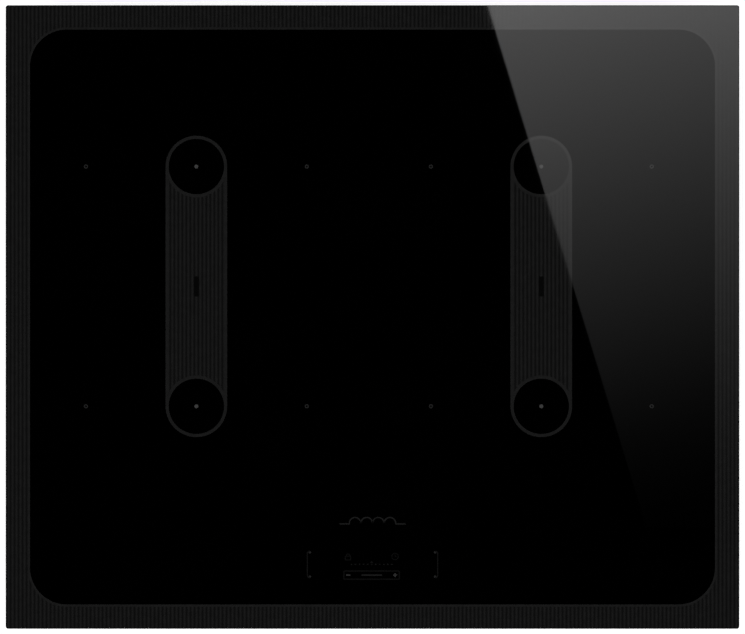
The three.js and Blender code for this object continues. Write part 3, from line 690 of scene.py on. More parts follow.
SLIDER = {"x": -0.7, "y": -211.0, "half_x": 23.2, "half_y": 3.9, "key": 19.2}
KEYS = {"y": -195.8, "lock_x": -20.0, "timer_x": 18.5}
TICKS = {"y": -202.2, "count": 11, "pitch": 3.3}
FIRST_TICK = SLIDER["x"] - TICKS["pitch"] * (TICKS["count"] - 1) / 2
BRACKET = {"x": 53.3, "top": -191.5, "foot": -213.2, "hook": 2.0, "line": 0.9}


def slider_print():
    """The power slider with its minus and plus, and a row of level ticks over it."""
    x, y, half_x, half_y, key = SLIDER.values()
    outer = rounded_rect(x, y, half_x, half_y, 1.2, 5)
    inner = rounded_rect(x, y, half_x - 1.1, half_y - 1.1, 0.4, 5)
    ticks = [
        [rounded_rect(FIRST_TICK + i * TICKS["pitch"], TICKS["y"], 0.7, 0.5, 0.3, 3)]
        for i in range(TICKS["count"])
    ]
    arrow = [[(x - 1.4, TICKS["y"] + 1.2), (x + 1.4, TICKS["y"] + 1.2), (x, TICKS["y"] + 2.8)]]
    printed("slider_outline", [[outer, inner]], "mark", "faint")
    printed("level_ticks", [*ticks, arrow], "mark", "thin")
    level = [rounded_rect(x, y, 8.5, 0.6, 0.5, 5)]
    printed("slider_level", [level], "mark", "symbol")
    minus = [stroke([(x - key - 1.7, y), (x - key + 1.7, y)], 1.1)]
    plus = [[(x + key + dx, y + dy) for dx, dy in cross_outline(1.6, 0.5)]]
    printed("slider_keys", [minus, plus], "mark", "key")


def key_print():
    """A padlock for the key lock and a clock for the timer."""
    y, x = KEYS["y"], KEYS["lock_x"]
    body = [rounded_rect(x, y - 1.3, 2.6, 1.9, 0.5, 4), rounded_rect(x, y - 1.3, 1.8, 1.1, 0.3, 4)]
    bow = [arc(x, y + 0.6, 1.9, 0, TAU / 2, 16) + arc(x, y + 0.6, 1.1, TAU / 2, 0, 16)]
    printed("lock_symbol", [body, bow], "mark", "faint")
    x = KEYS["timer_x"]
    face = [circle(x, y, 3.0, 40), circle(x, y, 2.2, 40)]
    hands = [stroke([(x, y + 1.7), (x, y), (x + 1.5, y)], 0.6)]
    printed("timer_symbol", [face, hands], "mark", "faint")


def bracket_print():
    """The two brackets that frame the control, each with a dot in either hook."""
    reach, top, foot, hook, line = BRACKET.values()
    upper = arc(reach - hook, top - hook, hook, TAU / 4, 0, 6)
    lower = arc(reach - hook, foot + hook, hook, 0, -TAU / 4, 6)
    strokes, dots = [], []
    for side in (-1, 1):
        strokes.append([stroke([(side * x, y) for x, y in upper + lower], line)])
        for y in (top - 0.9, foot + 0.9):
            dots.append([circle(side * (reach - 2.1), y, 1.0, 20)])
    printed("bracket_strokes", strokes, "mark", "thin")
    printed("bracket_dots", dots, "mark", "mark")


SYMBOL = {"y": -168.6, "lead": 8.0, "half_x": 27.0, "loops": 4, "line": 1.1}


def coil_symbol():
    """A plain induction-coil pictogram: a row of loops between two short leads."""
    y, lead, half, loops, line = SYMBOL.values()
    inner = half - lead
    pitch = 2 * inner / loops
    radius = pitch / 2 + line * 0.45
    shapes = []
    for i in range(loops):
        x = -inner + pitch * (i + 0.5)
        shapes.append([stroke(arc(x, y, radius - line / 2, 0, TAU / 2, 20), line)])
    for side in (-1, 1):
        ends = [(side * (inner - line / 2), y - line / 2), (side * half, y - line / 2)]
        shapes.append([stroke(ends, line)])
    printed("induction_symbol", shapes, "mark", "symbol")


# ------------------------------------------------------------------ finishes on the CAD nodes
# Finishes by how the names of their CAD nodes end.
NODE_FINISHES = {
    "glass": ("glass_panel",),
    "seal": ("rim_seal",),
    "galvanised": ("rail", "base_tray"),
    "screw": ("clamp_screw", "coil_spring"),
    "clamp": ("clamp",),
    "aluminium": ("shield_plate", "heat_sink"),
    "former": ("coil_former",),
    "copper": ("coil_winding",),
    "mica": ("mica_disc",),
    "sensor": ("heat_sensor",),
    "solder_mask": ("power_board", "filter_board", "touch_board"),
    "black_plastic": (
        "touch_board_carrier", "fan_housing", "fan_rotor", "terminal_box", "terminal_cover",
    ),
    "grey_plastic": ("air_duct",),
    "ferrite": ("filter_choke",),
    "cream": ("terminal_block",),
    "black_sleeve": ("lead",),
    "ribbon": ("control_ribbon",),
}


def finish_nodes():
    """Gives each CAD node the finish of its kind."""
    for name, node in frame["nodes"].items():
        finish = next(key for key, ends in NODE_FINISHES.items() if name.endswith(ends))
        node.data.materials.clear()
        node.data.materials.append(MATERIALS[finish])


# ------------------------------------------------------------------ coil assemblies
LITZ = {"radius": 1.2, "turns": 24, "layers": 2, "steps": 56, "inner": 22.0}
POCKETS = 8
FORMER = {"plate": 4.0, "roof": 0.8, "bore": 16.0, "ledge_bore": 12.0, "rim": 2.0}
FERRITE = {"inner": 30.4, "outer": 83.6, "half_width": 7.6, "height": 2.9}
LEAD_HOLE = {"radius": 19.0, "bore": 1.8}
POCKET_GAP = 0.4
SPRING = {"wire": 0.8, "turns": 3.5, "steps": 40, "flat": 0.6}
COIL_LEAD = {"radius": 1.2, "apart": 1.7, "below": 1.4, "shield_hole": 70}
# The boards' spacers stand this proud of their faces.
SPACER_PROUD = 1.0


def litz_spiral(inner, outer, low):
    """Layers of round litz wound flat, one over the other."""
    radius, turns, layers, steps, _ = LITZ.values()
    first, last = inner + radius, outer - radius
    parts = []
    for layer in range(layers):
        z = low + radius * (2 * layer + 1)
        points = []
        for i in range(turns * steps + 1):
            share = i / (turns * steps)
            turn = TAU * turns * share
            reach = first + (last - first) * share
            points.append((reach * math.cos(turn), reach * math.sin(turn), z))
        parts.append(tube(points, radius, 6))
    return joined(parts)


def coil_former(node):
    """The moulded disc that carries a coil: ferrite pockets below, a rim round the winding above."""
    low, high = box(node)
    radius = (high.x - low.x) / 2
    floor, top = low.z, low.z + FORMER["plate"]
    roof, bore, ledge, rim = top - FORMER["roof"], FORMER["bore"], FORMER["ledge_bore"], FORMER["rim"]
    inner, outer, half_width, _ = FERRITE.values()
    half_length = (outer - inner) / 2 + POCKET_GAP
    outline = rounded_rect(
        (inner + outer) / 2, 0, half_length, half_width + POCKET_GAP, 1.0, 3
    )
    pockets = []
    for i in range(POCKETS):
        turn = Matrix.Rotation(TAU * (i + 0.5) / POCKETS, 3, "Z")
        pockets.append([tuple((turn @ Vector((x, y, 0))).xy) for x, y in outline])
    disc = circle(0, 0, radius - rim / 2, 96)
    holes = [circle(0, 0, bore), circle(LEAD_HOLE["radius"], 0, LEAD_HOLE["bore"], 16)]
    foot, ease = floor + 1.6, 0.4
    seat = bore + 0.3
    ledge_ring = [
        (ledge, floor), (seat, floor), (seat, foot), (ledge + ease, foot), (ledge, foot - ease),
    ]
    rim_ring = [
        (radius - rim, floor), (radius - 0.6, floor), (radius, floor + 0.6), (radius, high.z - 0.6),
        (radius - 0.6, high.z), (radius - rim + ease, high.z), (radius - rim, high.z - ease),
    ]
    return joined([
        stacked([disc, *holes], [(floor, 1.0), (top, 1.0)], pockets, floor - roof),
        turned(ledge_ring, 48),
        turned(rim_ring, 96),
    ])


def ferrite_bars(low_z):
    inner, outer, half, height = FERRITE.values()
    block = rounded_box((inner, outer), (-half, half), (low_z + 0.2, low_z + 0.2 + height), 0.5)
    return joined([spun(block, TAU * (i + 0.5) / POCKETS) for i in range(POCKETS)])


def sensor_cap(node):
    """A spring-loaded ceramic button on a moulded foot."""
    low, high = box(node)
    foot = (high.x - low.x) / 2
    return turned(
        [
            (0, low.z), (foot - 0.4, low.z), (foot, low.z + 0.4), (foot, low.z + 1.4),
            (foot - 0.5, low.z + 2), (8.5, low.z + 2.6), (6.9, low.z + 3.6), (6.5, low.z + 4.4),
            (6.5, high.z - 0.6), (5.9, high.z), (4.2, high.z), (4.0, high.z - 0.3), (0, high.z - 0.3),
        ],
        48,
    )


def coil_spring(node):
    """A compression spring whose end turns lie flat for part of a turn."""
    low, high = box(node)
    wire, turns, steps, flat = SPRING.values()
    radius = (high.x - low.x) / 2 - wire
    low_z, high_z = low.z + wire, high.z - wire
    rise = [(i / steps - flat) / (turns - 2 * flat) for i in range(int(turns * steps) + 1)]
    heights = [low_z + (high_z - low_z) * min(max(share, 0), 1) for share in rise]
    return tube(helix(radius, steps, heights), wire, 10)


def squash_to(obj, low, top):
    """Gives a piece between the fixed casing and a floating coil a mesh of its own."""
    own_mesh(obj)


def coil_leads(where):
    """The two sleeved ends of the winding: under the former and down through the shield's hole to
    the power board."""
    radius, apart, below, shield_hole = COIL_LEAD.values()
    under = box(f"{where}_coil_former")[0].z - below
    board = box(f"{where.split('_')[1]}_power_board")[1].z + 1
    parts = []
    for offset, start in ((-apart, LEAD_HOLE["radius"]), (apart, FERRITE["outer"])):
        turn_in = shield_hole + (-8 if start < shield_hole else 6)
        route = [
            (start, offset, under), ((start + turn_in) / 2, offset, under), (turn_in, offset, under),
            (shield_hole, offset, under - 5), (shield_hole, offset, under - 13),
            (shield_hole, offset * 1.5, board + 3), (shield_hole + 4, offset * 2, board),
        ]
        parts.append(tube(smooth_path(route, 6), radius, 10))
    return joined(parts), board - radius, under + radius


def dress_coil(where):
    x, y, _ = centre(f"{where}_coil_former")
    body = body_of(f"{where}_coil_former")

    def fit(name, part, material, slot, replaced=None, on=body):
        nodes = [f"{where}_{replaced}"] if replaced else []
        return piece(f"{where}_{name}", shifted(part, x, y), material, slot, nodes, on)

    low, high = box(f"{where}_coil_winding")
    spiral = litz_spiral(LITZ["inner"], (high.x - low.x) / 2, low.z + 0.05)
    fit("litz_coil", spiral, litz(where), "winding_wire", "coil_winding")
    former = f"{where}_coil_former"
    fit("former_moulding", coil_former(former), "former", "former_plastic", "coil_former")
    fit("ferrite_bars", ferrite_bars(box(former)[0].z), "ferrite", "choke_ferrite")
    low, high = box(f"{where}_mica_disc")
    mica = prism([circle(0, 0, (high.x - low.x) / 2, 96), circle(0, 0, 7.5, 40)], low.z, high.z)
    fit("mica_sheet", mica, "mica", "mica_sheet", "mica_disc")
    cap = sensor_cap(f"{where}_heat_sensor")
    fit("sensor_cap", cap, "sensor", "sensor_ceramic", "heat_sensor")
    low, high = box(f"{where}_coil_spring")
    spring = coil_spring(f"{where}_coil_spring")
    wire = fit("float_spring", spring, "screw", "screw_steel", "coil_spring", "casing")
    squash_to(wire, low.z, high.z)
    leads, low_z, high_z = coil_leads(where)
    sleeve = fit("coil_leads", leads, "black_sleeve", "wire_insulation", None, "casing")
    squash_to(sleeve, low_z, high_z)


# ------------------------------------------------------------------ blowers
WHEEL = {"blades": 34, "steps": 6, "thickness": 0.8, "sweep": 0.5}


def curved_blade(inner, outer, low, high):
    """A forward-curved blade between two radii."""
    steps, thickness, sweep = WHEEL["steps"], WHEEL["thickness"], WHEEL["sweep"]
    front, back = [], []
    for i in range(steps + 1):
        share = i / steps
        radius = inner + (outer - inner) * share
        turn = sweep * share**2
        point = Vector((radius * math.cos(turn), radius * math.sin(turn)))
        along = turn + math.atan(2 * sweep * share * radius / (outer - inner))
        normal = Vector((-math.sin(along), math.cos(along))) * thickness / 2
        front.append(tuple(point + normal))
        back.append(tuple(point - normal))
    return prism([back + front[::-1]], low, high)


def dress_fan(side):
    """The blower's wheel, and the rounded mouth of its inlet."""
    node = f"{side}_fan_rotor"
    low, high = box(node)
    x, y, _ = (low + high) / 2
    radius, bottom, top = (high.x - low.x) / 2, low.z, high.z
    blade = curved_blade(radius - 9, radius - 0.8, bottom + 0.5, top - 1)
    blades = [spun(blade, TAU * i / WHEEL["blades"]) for i in range(WHEEL["blades"])]
    hub_low = top - 12
    hub = turned(
        [
            (1.59, hub_low + 0.4), (2.6, hub_low), (9.4, hub_low), (11, hub_low + 1.6),
            (11, top - 3), (13, top - 1.6), (radius - 0.4, top - 1.2), (radius, top - 0.8),
            (radius, top), (1.59, top),
        ],
        72,
    )
    lip = turned(
        [
            (radius - 2.2, bottom), (radius - 0.4, bottom), (radius, bottom + 0.4),
            (radius, bottom + 1.4), (radius - 2.2, bottom + 1.4),
        ],
        72,
    )
    wheel = shifted(joined([hub, lip, *blades]), x, y)
    piece(
        f"{side}_blower_wheel", wheel, "black_plastic", "fan_plastic", [node], body_of(node)
    )
    face = box(f"{side}_fan_housing")[0].z
    mouth = turned(
        [
            (27.2, face + 0.1), (29.5, face - 0.25), (30.5, face + 0.2), (29.5, face + 1.2),
            (27.2, face + 3.2), (26.4, face + 2.6),
        ],
        72,
    )
    piece(f"{side}_inlet_ring", shifted(mouth, x, y), "grey_plastic", "duct_plastic")


# ------------------------------------------------------------------ circuit boards
def can(radius, height):
    """An electrolytic capacitor's can with a grooved shoulder."""
    profile = [
        (0, 0), (radius - 0.6, 0), (radius, 0.6), (radius, 1.8), (radius - 0.4, 2.3),
        (radius, 2.8), (radius, height - 0.7), (radius - 0.7, height), (radius - 1.6, height),
        (radius - 1.8, height - 0.3), (0, height - 0.3),
    ]
    return turned(profile, 40)


def row(x, y, step_x=0, step_y=0, count=1):
    return [(x + i * step_x, y + i * step_y) for i in range(count)]


# Block-shaped components by name: finish, slot, (width, depth, height), edge radius, then rows of
# places. A power board's places are drawn for the right side, a filter board's from its middle.
POWER_BLOCKS = {
    "film_capacitors": ("film_case", "terminal_cream", (32, 14, 18), 1.0, row(192, -62, 0, 22, 3)),
    "relays": ("relay_case", "terminal_plastic", (16, 19, 15), 0.8, row(226, -60, 0, 22, 3)),
    "sockets": ("cream", "terminal_cream", (13, 8, 9), 0.6, row(176, -136, 18, 0, 4)),
    "chips": (
        "black_plastic", "fan_plastic", (8, 8, 1.8), 0.3,
        row(180, -112, 20, 0, 3) + row(90, -120, 0, 30, 5),
    ),
}
FILTER_BLOCKS = {
    "filter_capacitors": (
        "film_case", "terminal_cream", (28, 16, 17), 1.0, row(-40, -28, 0, 28, 2) + row(56, -34),
    ),
    "filter_sockets": ("cream", "terminal_cream", (15, 9, 10), 0.6, row(-60, 48, 24, 0, 5)),
    "filter_fuses": (
        "black_plastic", "fan_plastic", (8, 20, 9), 2.0, row(-10, 26) + row(58, 10),
    ),
}
TOUCH_BLOCKS = {
    "light_pipes": (
        "sensor", "sensor_ceramic", (1.6, 1.6, 2.4), 0.2,
        row(FIRST_TICK, TICKS["y"], TICKS["pitch"], 0, TICKS["count"]),
    ),
    "touch_chips": (
        "black_plastic", "fan_plastic", (9, 9, 1.6), 0.3, row(60, -197) + row(-60, -200),
    ),
}


def stand_blocks(table, low, prefix="", place=lambda x, y: (x, y)):
    """Stands each kind of block on a board's face, at height low."""
    for name, (material, slot, (width, depth, height), edge, places) in table.items():
        block = rounded_box((-width / 2, width / 2), (-depth / 2, depth / 2), (0, height), edge)
        parts = [shifted(block, *place(x, y), low) for x, y in places]
        piece(f"{prefix}{name}", joined(parts), material, slot)


def dress_power_board(side):
    """Capacitors, relays, sockets, chips and inductors round the heat sink."""
    top = box(f"{side}_power_board")[1].z - SPACER_PROUD

    def place(x, y):
        return SIDES[side] * x, y

    stand_blocks(POWER_BLOCKS, top, f"{side}_", place)
    cans = [
        shifted(can(9, 19.5), *place(x, y), top)
        for x, y in row(181, 12, 0, 22, 2) + row(205, 12, 0, 22, 2)
    ]
    piece(f"{side}_can_capacitors", joined(cans), "black_plastic", "fan_plastic")
    coil = turned([(4, 0), (8, 0), (9, 1), (9, 11), (8, 12), (4, 12)], 40)
    coils = [shifted(coil, *place(x, y), top) for x, y in row(232, 20, 0, 22, 2)]
    piece(f"{side}_inductors", joined(coils), "copper", "winding_wire")


CHOKE = {"bore": 8.0, "over": 1.0, "wire": 0.9, "turns": 13, "steps": 24, "gap": 0.25}


def choke_windings(node):
    """Two halves of enamelled wire wound round a ring core."""
    low, high = box(node)
    x, y, z = (low + high) / 2
    bore, over, wire, turns, steps, gap = CHOKE.values()
    outer, inner = (high.x - low.x) / 2 + over, bore - over
    half = (high.z - low.z) / 2 + over
    parts = []
    for start in (gap, math.pi + gap):
        points = []
        for i in range(turns * steps + 1):
            turn = start + (math.pi - 2 * gap) * i / (turns * steps)
            wrap = TAU * i / steps
            across, up = math.cos(wrap), math.sin(wrap)
            square = max(abs(across), abs(up)) ** 0.7
            reach = (outer + inner) / 2 + (outer - inner) / 2 * across / square
            points.append((reach * math.cos(turn), reach * math.sin(turn), half * up / square))
        parts.append(tube(points, wire, 8))
    return shifted(joined(parts), x, y, z)


def dress_filter_board():
    x, y, _ = centre("filter_board")
    windings = choke_windings("filter_choke")
    piece("choke_windings", windings, "copper", "winding_wire")
    top = box("filter_board")[1].z - SPACER_PROUD
    stand_blocks(FILTER_BLOCKS, top, place=lambda dx, dy: (x + dx, y + dy))


# The gap is what a touch spring leaves of the way from the board to the glass's face.
TOUCH_SPRING = {"radius": 2.4, "wire": 0.25, "steps": 16, "turns": 3, "gap": 4.8}


def dress_touch_board():
    """Contact springs under each touch point of the print, light pipes, and the chips."""
    top = box("touch_board")[1].z
    stand_blocks(TOUCH_BLOCKS, top)
    points = [(KEYS["lock_x"], KEYS["y"]), (KEYS["timer_x"], KEYS["y"])]
    points += row(SLIDER["x"] - SLIDER["key"], SLIDER["y"], SLIDER["key"] / 3, 0, 7)
    radius, wire, steps, turns, gap = TOUCH_SPRING.values()
    rise = GLASS.z - gap - top
    count = turns * steps
    heights = [top + 0.3 + rise * i / count for i in range(count + 1)]
    spring = tube(helix(radius, steps, heights), wire, 6)
    springs = joined([shifted(spring, x, y) for x, y in points])
    piece("touch_springs", springs, "screw", "screw_steel")


# ------------------------------------------------------------------ wiring and mains terminals
def twisted(route, count, lay_radius, radius, pitch):
    """Insulated wires twisted round a route, one part each."""
    path = smooth_path(route, 12)
    wires = [[] for _ in range(count)]
    run = 0.0
    for i, (point, normal, across) in enumerate(framed(path)):
        run += (point - path[i - 1]).length if i else 0
        for k in range(count):
            turn = TAU * (run / pitch + k / count)
            wires[k].append(point + lay_radius * (math.cos(turn) * normal + math.sin(turn) * across))
    return [tube(wire, radius, 10) for wire in wires]


SLEEVES = ("brown_sleeve", "blue_sleeve", "black_sleeve")


def run_wires(name, route, replaced, count, *sizes):
    """Replaces a CAD lead by its own coloured wires, twisted along the same route."""
    for sleeve, part in zip(SLEEVES, twisted(route, count, *sizes)):
        nodes = [replaced] if sleeve == SLEEVES[0] else []
        piece(f"{name}_{sleeve}", part, sleeve, "wire_insulation", nodes)


def dress_wiring():
    over = box("filter_board")[1].z - SPACER_PROUD + 4
    mains = [(187, 218, 16), (162, 216, 13), (120, 196, over), (66, 184, over)]
    run_wires("mains", mains, "mains_lead", 3, 1.55, 1.35, 46)
    for side, sign in SIDES.items():
        route = [
            (sign * 52, 92, over), (sign * 66, 70, over + 5), (sign * 84, 50, over + 4),
            (sign * 94, 28, over),
        ]
        run_wires(f"{side}_supply", route, f"{side}_supply_lead", 2, 1.15, 1.1, 30)


def slotted_screw(radius, height):
    """A cheese-head screw with a straight slot, standing on z = 0."""
    slot = rounded_rect(0, 0, radius * 0.8, radius * 0.16, radius * 0.05, 2)
    levels = [(0, 1.0), (height * 0.9, 1.0), (height, 0.93)]
    return stacked([circle(0, 0, radius, 32)], levels, [slot], height * 0.5)


def cross_screw(radius, height):
    """A pan-head screw with a cross recess, standing on z = 0."""
    recess = cross_outline(radius * 0.55, radius * 0.13)
    levels = [(0, 0.96), (0.1, 1.0), (0.4, 1.0), (0.65, 0.97), (0.85, 0.9), (1.0, 0.75)]
    levels = [(height * share, scale) for share, scale in levels]
    return stacked([circle(0, 0, radius, 32)], levels, [recess], height * 0.6)


TERMINALS = {"ways": 5, "screw": 2.2, "screw_height": 2.4, "screw_seat": 12.1, "edge": 0.4}
CAGE = {"half_width": 2.2, "front": 10.2, "rear": 1.0, "low": 3.2, "high": 8.4}


def dress_terminals():
    """A clamping screw and a wire cage in each way of the terminal block."""
    low, high = box("terminal_block")
    ways = TERMINALS["ways"]
    pitch = (high.x - low.x) / ways
    screw = slotted_screw(TERMINALS["screw"], TERMINALS["screw_height"])
    cage = rounded_box(
        (-CAGE["half_width"], CAGE["half_width"]),
        (low.y + CAGE["front"], high.y - CAGE["rear"]),
        (low.z + CAGE["low"], low.z + CAGE["high"]),
        TERMINALS["edge"],
    )
    places = [low.x + pitch * (i + 0.5) for i in range(ways)]
    screw_y, screw_z = low.y + (high.y - low.y) / 3, low.z + TERMINALS["screw_seat"]
    screws = joined([shifted(screw, x, screw_y, screw_z) for x in places])
    cages = joined([shifted(cage, x, 0) for x in places])
    piece("terminal_screws", screws, "brass", "screw_steel")
    piece("terminal_cages", cages, "brass", "screw_steel")


# ------------------------------------------------------------------ the tray's outside
WALL_SCREW = {"radius": 3.4, "height": 1.9, "z": 40.5}
WALL_SCREW_PLACES = {
    "rear": (-215, -60, 60, 215), "front": (-215, -60, 60, 215), "left": (-150, 95),
    "right": (-95, 150),
}
DATA_PLATE = {"x": -40, "z": 22, "half_x": 40.0, "half_y": 13.0, "rivet_x": 36.5, "rivet_y": 9.5}
EARTH_STUD = {"x": -188, "z": 22}


def on_wall(part, side, along, z):
    """A part standing on z = 0, turned to stand on a tray wall: front, rear, left or right."""
    turns = {"rear": 0, "left": TAU / 4, "front": TAU / 2, "right": -TAU / 4}
    reach = TRAY.y if side in ("rear", "front") else TRAY.x
    upright = Matrix.Rotation(-TAU / 4, 4, "X")
    place = Matrix.Translation((along, reach - 0.05, z))
    return moved(part, Matrix.Rotation(turns[side], 4, "Z") @ place @ upright)


def earth_stud():
    """A brass stud with a washer and a nut."""
    return joined([
        turned([(0, 0), (5.6, 0), (5.6, 0.5), (0, 0.5)], 32),
        prism([circle(0, 0, 4.6, 6)], 0, 2.4, 0.97),
        turned([(0, 0), (1.9, 0), (1.9, 4.6), (1.5, 5), (0, 5)], 24),
    ])


def data_plate():
    """A blank plate with a raised rim and two ruled lines, held by four rivets."""
    _, _, half_x, half_y, rivet_x, rivet_y = DATA_PLATE.values()
    outer = rounded_rect(0, 0, half_x, half_y, 2, 6)
    rim = [outer, rounded_rect(0, 0, half_x - 1, half_y - 1, 1.2, 6)]
    rules = [[stroke([(-half_x + 8, y), (half_x - 8, y)], 0.5)] for y in (-4, 4)]
    rivet = turned([(0, 0), (1.4, 0), (1.2, 0.9), (0.6, 1.2), (0, 1.3)], 20)
    corners = [(sx * rivet_x, sy * rivet_y) for sx in (-1, 1) for sy in (-1, 1)]
    return joined([
        prism([outer], 0, 0.5, 0.995),
        *[prism(loops, 0.4, 0.75) for loops in (rim, *rules)],
        *[shifted(rivet, x, y) for x, y in corners],
    ])


def dress_tray():
    """Screws into the rails, an earth stud, and a blank data plate on the rear wall."""
    head = cross_screw(WALL_SCREW["radius"], WALL_SCREW["height"])
    for side, places in WALL_SCREW_PLACES.items():
        heads = [on_wall(head, side, along, WALL_SCREW["z"]) for along in places]
        piece(f"{side}_wall_screws", joined(heads), "screw", "screw_steel")
    stud = on_wall(earth_stud(), "rear", *EARTH_STUD.values())
    piece("earth_stud", stud, "brass", "screw_steel")
    plate = on_wall(data_plate(), "rear", DATA_PLATE["x"], DATA_PLATE["z"])
    piece("data_plate", plate, "plate", "aluminium_sheet")


THREAD = {"radius": 1.74, "wire": 0.26, "pitch": 0.7, "start": 6.0, "steps": 16}


def threaded_screw(node):
    """A clamp's screw with a cross-recessed head below and a cut thread above."""
    low, high = box(node)
    x, y, _ = (low + high) / 2
    head_height = 2.4
    turn_over = Matrix.Translation((0, 0, low.z + head_height)) @ Matrix.Rotation(TAU / 2, 4, "X")
    head = moved(cross_screw(4, head_height), turn_over)
    foot, tip = low.z + head_height - 0.1, high.z
    shank = turned([(0, foot), (1.8, foot), (1.8, tip - 0.6), (1.3, tip), (0, tip)], 32)
    radius, wire, pitch, start, steps = THREAD.values()
    start += low.z
    count = int((tip - 0.8 - start) / pitch * steps) + 1
    thread = helix(radius, steps, [start + pitch * i / steps for i in range(count)])
    return shifted(joined([head, shank, tube(thread, wire, 4)]), x, y)


def press_nut():
    """A hexagonal nut on a round flange, fixed in the roof of the tray's pocket."""
    return joined([
        prism([circle(0, 0, 4.6, 6), circle(0, 0, 2.1, 24)], 10.2, 13.6, 0.96),
        turned([(2.1, 10.0), (6.2, 10.0), (6.2, 10.7), (2.1, 10.7)], 40),
    ])


def dress_clamps():
    for where in COILS:
        node = f"{where}_clamp_screw"
        x, y, _ = centre(node)
        screw = threaded_screw(node)
        piece(f"{where}_threaded_screw", screw, "screw", "screw_steel", [node], body_of(node))
        piece(f"{where}_press_nut", shifted(press_nut(), x, y), "screw", "screw_steel")


# ------------------------------------------------------------------ floor, light and camera
LENS = 100.0
SENSOR = 36.0
SIDE_MARGIN = 4.55
SOFT_BOX = {"height": 1300.0, "top_x": 94.0, "foot_x": 224.0, "foot_y": -172.0, "slant": 0.3}
# The soft box fades along its slant. Its display level is what its brightest reflection looks like.
FADE = {"start": -215.0, "end": 295.0, "power": 2.65, "level": 74}


def staged(name, corners, material):
    """A flat card of four corners that isn't part of the cooktop."""
    obj = linked(name, meshed(name, (corners, [(0, 1, 2, 3)])))
    obj.data.materials.append(material)
    return obj


def floor():
    """A pale light table, which glows a little so that the cooktop's shadow stays soft."""
    glow = {"Emission Color": rgb(1, 1, 1), "Emission Strength": 0.6}
    light, dark = rgb(0.87, 0.87, 0.87), rgb(0.84, 0.84, 0.84)
    pale = mottled("studio_floor", dark, light, 400.0, (0.6, 0.7), **glow)
    size, drop = 12000.0, -0.5
    corners = [(-size, -size, drop), (size, -size, drop), (size, size, drop), (-size, size, drop)]
    staged("studio_floor", corners, pale)


def soft_box(camera_height):
    """A card over the cooktop, seen only as the slanting reflection in the glass. Its corners are
    where the camera's rays to the reflection's outline go once the glass turns them back."""
    height = SOFT_BOX["height"]
    widen = 1 + height / camera_height
    top_y, right = GLASS.y + 30, GLASS.x + 40
    slant = SOFT_BOX["slant"]
    top_x = SOFT_BOX["top_x"] - slant * (top_y - GLASS.y)
    foot_x, foot_y = SOFT_BOX["foot_x"], SOFT_BOX["foot_y"]
    outline = [(foot_x, foot_y), (right, foot_y), (right, top_y), (top_x, top_y)]
    verts = [(x * widen, y * widen, GLASS.z + height) for x, y in outline]
    material = bpy.data.materials.new("soft_box_glow")
    material.use_nodes = True
    tree = material.node_tree
    tree.nodes.clear()
    split = add_node(tree, "ShaderNodeSeparateXYZ", inputs={0: object_space(tree)}).outputs
    down = math_node(tree, "SUBTRACT", math_node(tree, "MULTIPLY", split["X"], slant), split["Y"])
    share = remap(tree, down, (FADE["start"] * widen, FADE["end"] * widen), (1, 0))
    mirrored = ((GLASS_IOR - 1) / (GLASS_IOR + 1)) ** 2
    fade = math_node(tree, "POWER", share, FADE["power"])
    strength = math_node(tree, "MULTIPLY", fade, linear(FADE["level"]) / mirrored)
    glow = add_node(tree, "ShaderNodeEmission", inputs={"Strength": strength})
    add_node(tree, "ShaderNodeOutputMaterial", inputs={"Surface": glow.outputs[0]})
    card = staged("soft_box", verts, material)
    card.visible_camera = False
    card.visible_diffuse = False
    card.visible_shadow = False
    card.visible_transmission = False


# The world's brightness by the sine of the elevation: a pale horizon, a dark band that keeps the
# glass black from the side, a bright ring that lights the object, and darkness overhead.
SKY = (
    (0.0, 0.6), (0.2, 0.35), (0.45, 0.18), (0.64, 0.15), (0.78, 1.1), (0.92, 1.1), (0.95, 0.5),
    (0.972, 0.0),
)
SKY_STRENGTH = 0.9


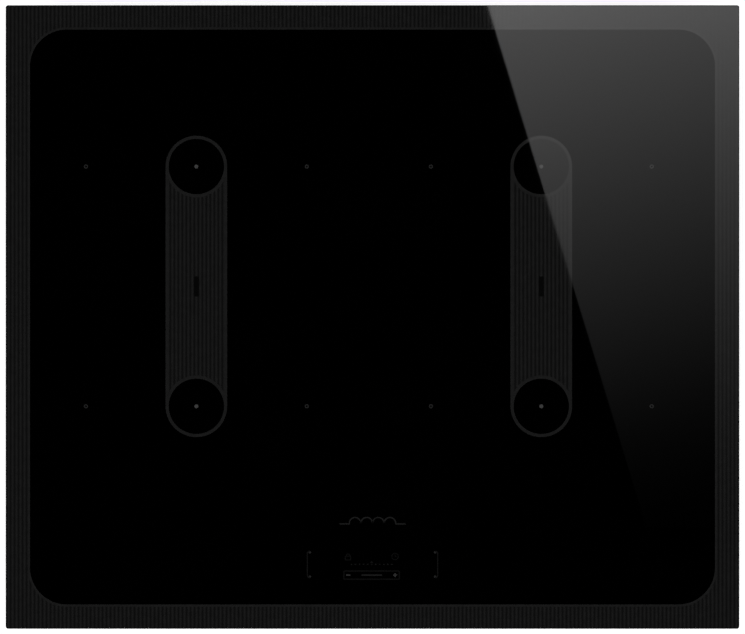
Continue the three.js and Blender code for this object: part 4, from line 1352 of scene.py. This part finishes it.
def studio_world():
    world = bpy.data.worlds.new("studio")
    bpy.context.scene.world = world
    world.use_nodes = True
    tree = world.node_tree
    place = add_node(tree, "ShaderNodeTexCoord").outputs["Generated"]
    height = add_node(tree, "ShaderNodeSeparateXYZ", inputs={0: place}).outputs["Z"]
    ramp = add_node(tree, "ShaderNodeValToRGB", inputs={"Fac": height})
    stops = ramp.color_ramp.elements
    for i, (position, value) in enumerate(SKY):
        edge = i in (0, len(SKY) - 1)
        stop = stops[0 if i == 0 else -1] if edge else stops.new(position)
        stop.position = position
        stop.color = (value, value, value, 1)
    background = tree.nodes["Background"]
    tree.links.new(ramp.outputs["Color"], background.inputs["Color"])
    background.inputs["Strength"].default_value = SKY_STRENGTH


def area_light(name, place, size, power):
    light = bpy.data.lights.new(name, "AREA")
    light.shape = "RECTANGLE"
    light.size, light.size_y = size
    light.energy = power
    obj = linked(name, light)
    obj.location = place
    obj.rotation_mode = "QUATERNION"
    obj.rotation_quaternion = (-Vector(place)).to_track_quat("-Z", "Y")
    obj.visible_glossy = False


def camera():
    """Straight over the glass, with the glass a small margin inside the frame's width."""
    data = bpy.data.cameras.new("camera")
    data.lens = LENS
    data.sensor_width = SENSOR
    obj = linked("camera", data)
    distance = 2 * (GLASS.x + SIDE_MARGIN) * LENS / SENSOR
    obj.location = Vector((0, 0, GLASS.z + distance)) * MM
    bpy.context.scene.camera = obj
    return distance


def light_studio(camera_height):
    studio_world()
    area_light("key_light", (-1.7, -1.5, 3.0), (2.0, 2.0), 32)
    area_light("fill_light", (2.2, -0.8, 2.0), (2.0, 2.0), 12)
    area_light("back_light", (0.3, 2.4, 2.2), (2.0, 1.6), 12)
    soft_box(camera_height)
    bpy.context.scene.view_settings.view_transform = "Standard"


# ------------------------------------------------------------------ the whole picture
def build():
    floor()
    light_studio(camera())
    finish_nodes()
    border_print()
    for side in SIDES:
        band_print(side)
        dress_fan(side)
        dress_power_board(side)
    slider_print()
    key_print()
    bracket_print()
    coil_symbol()
    for where in COILS:
        dress_coil(where)
    dress_filter_board()
    dress_touch_board()
    dress_wiring()
    dress_terminals()
    dress_tray()
    dress_clamps()


build()
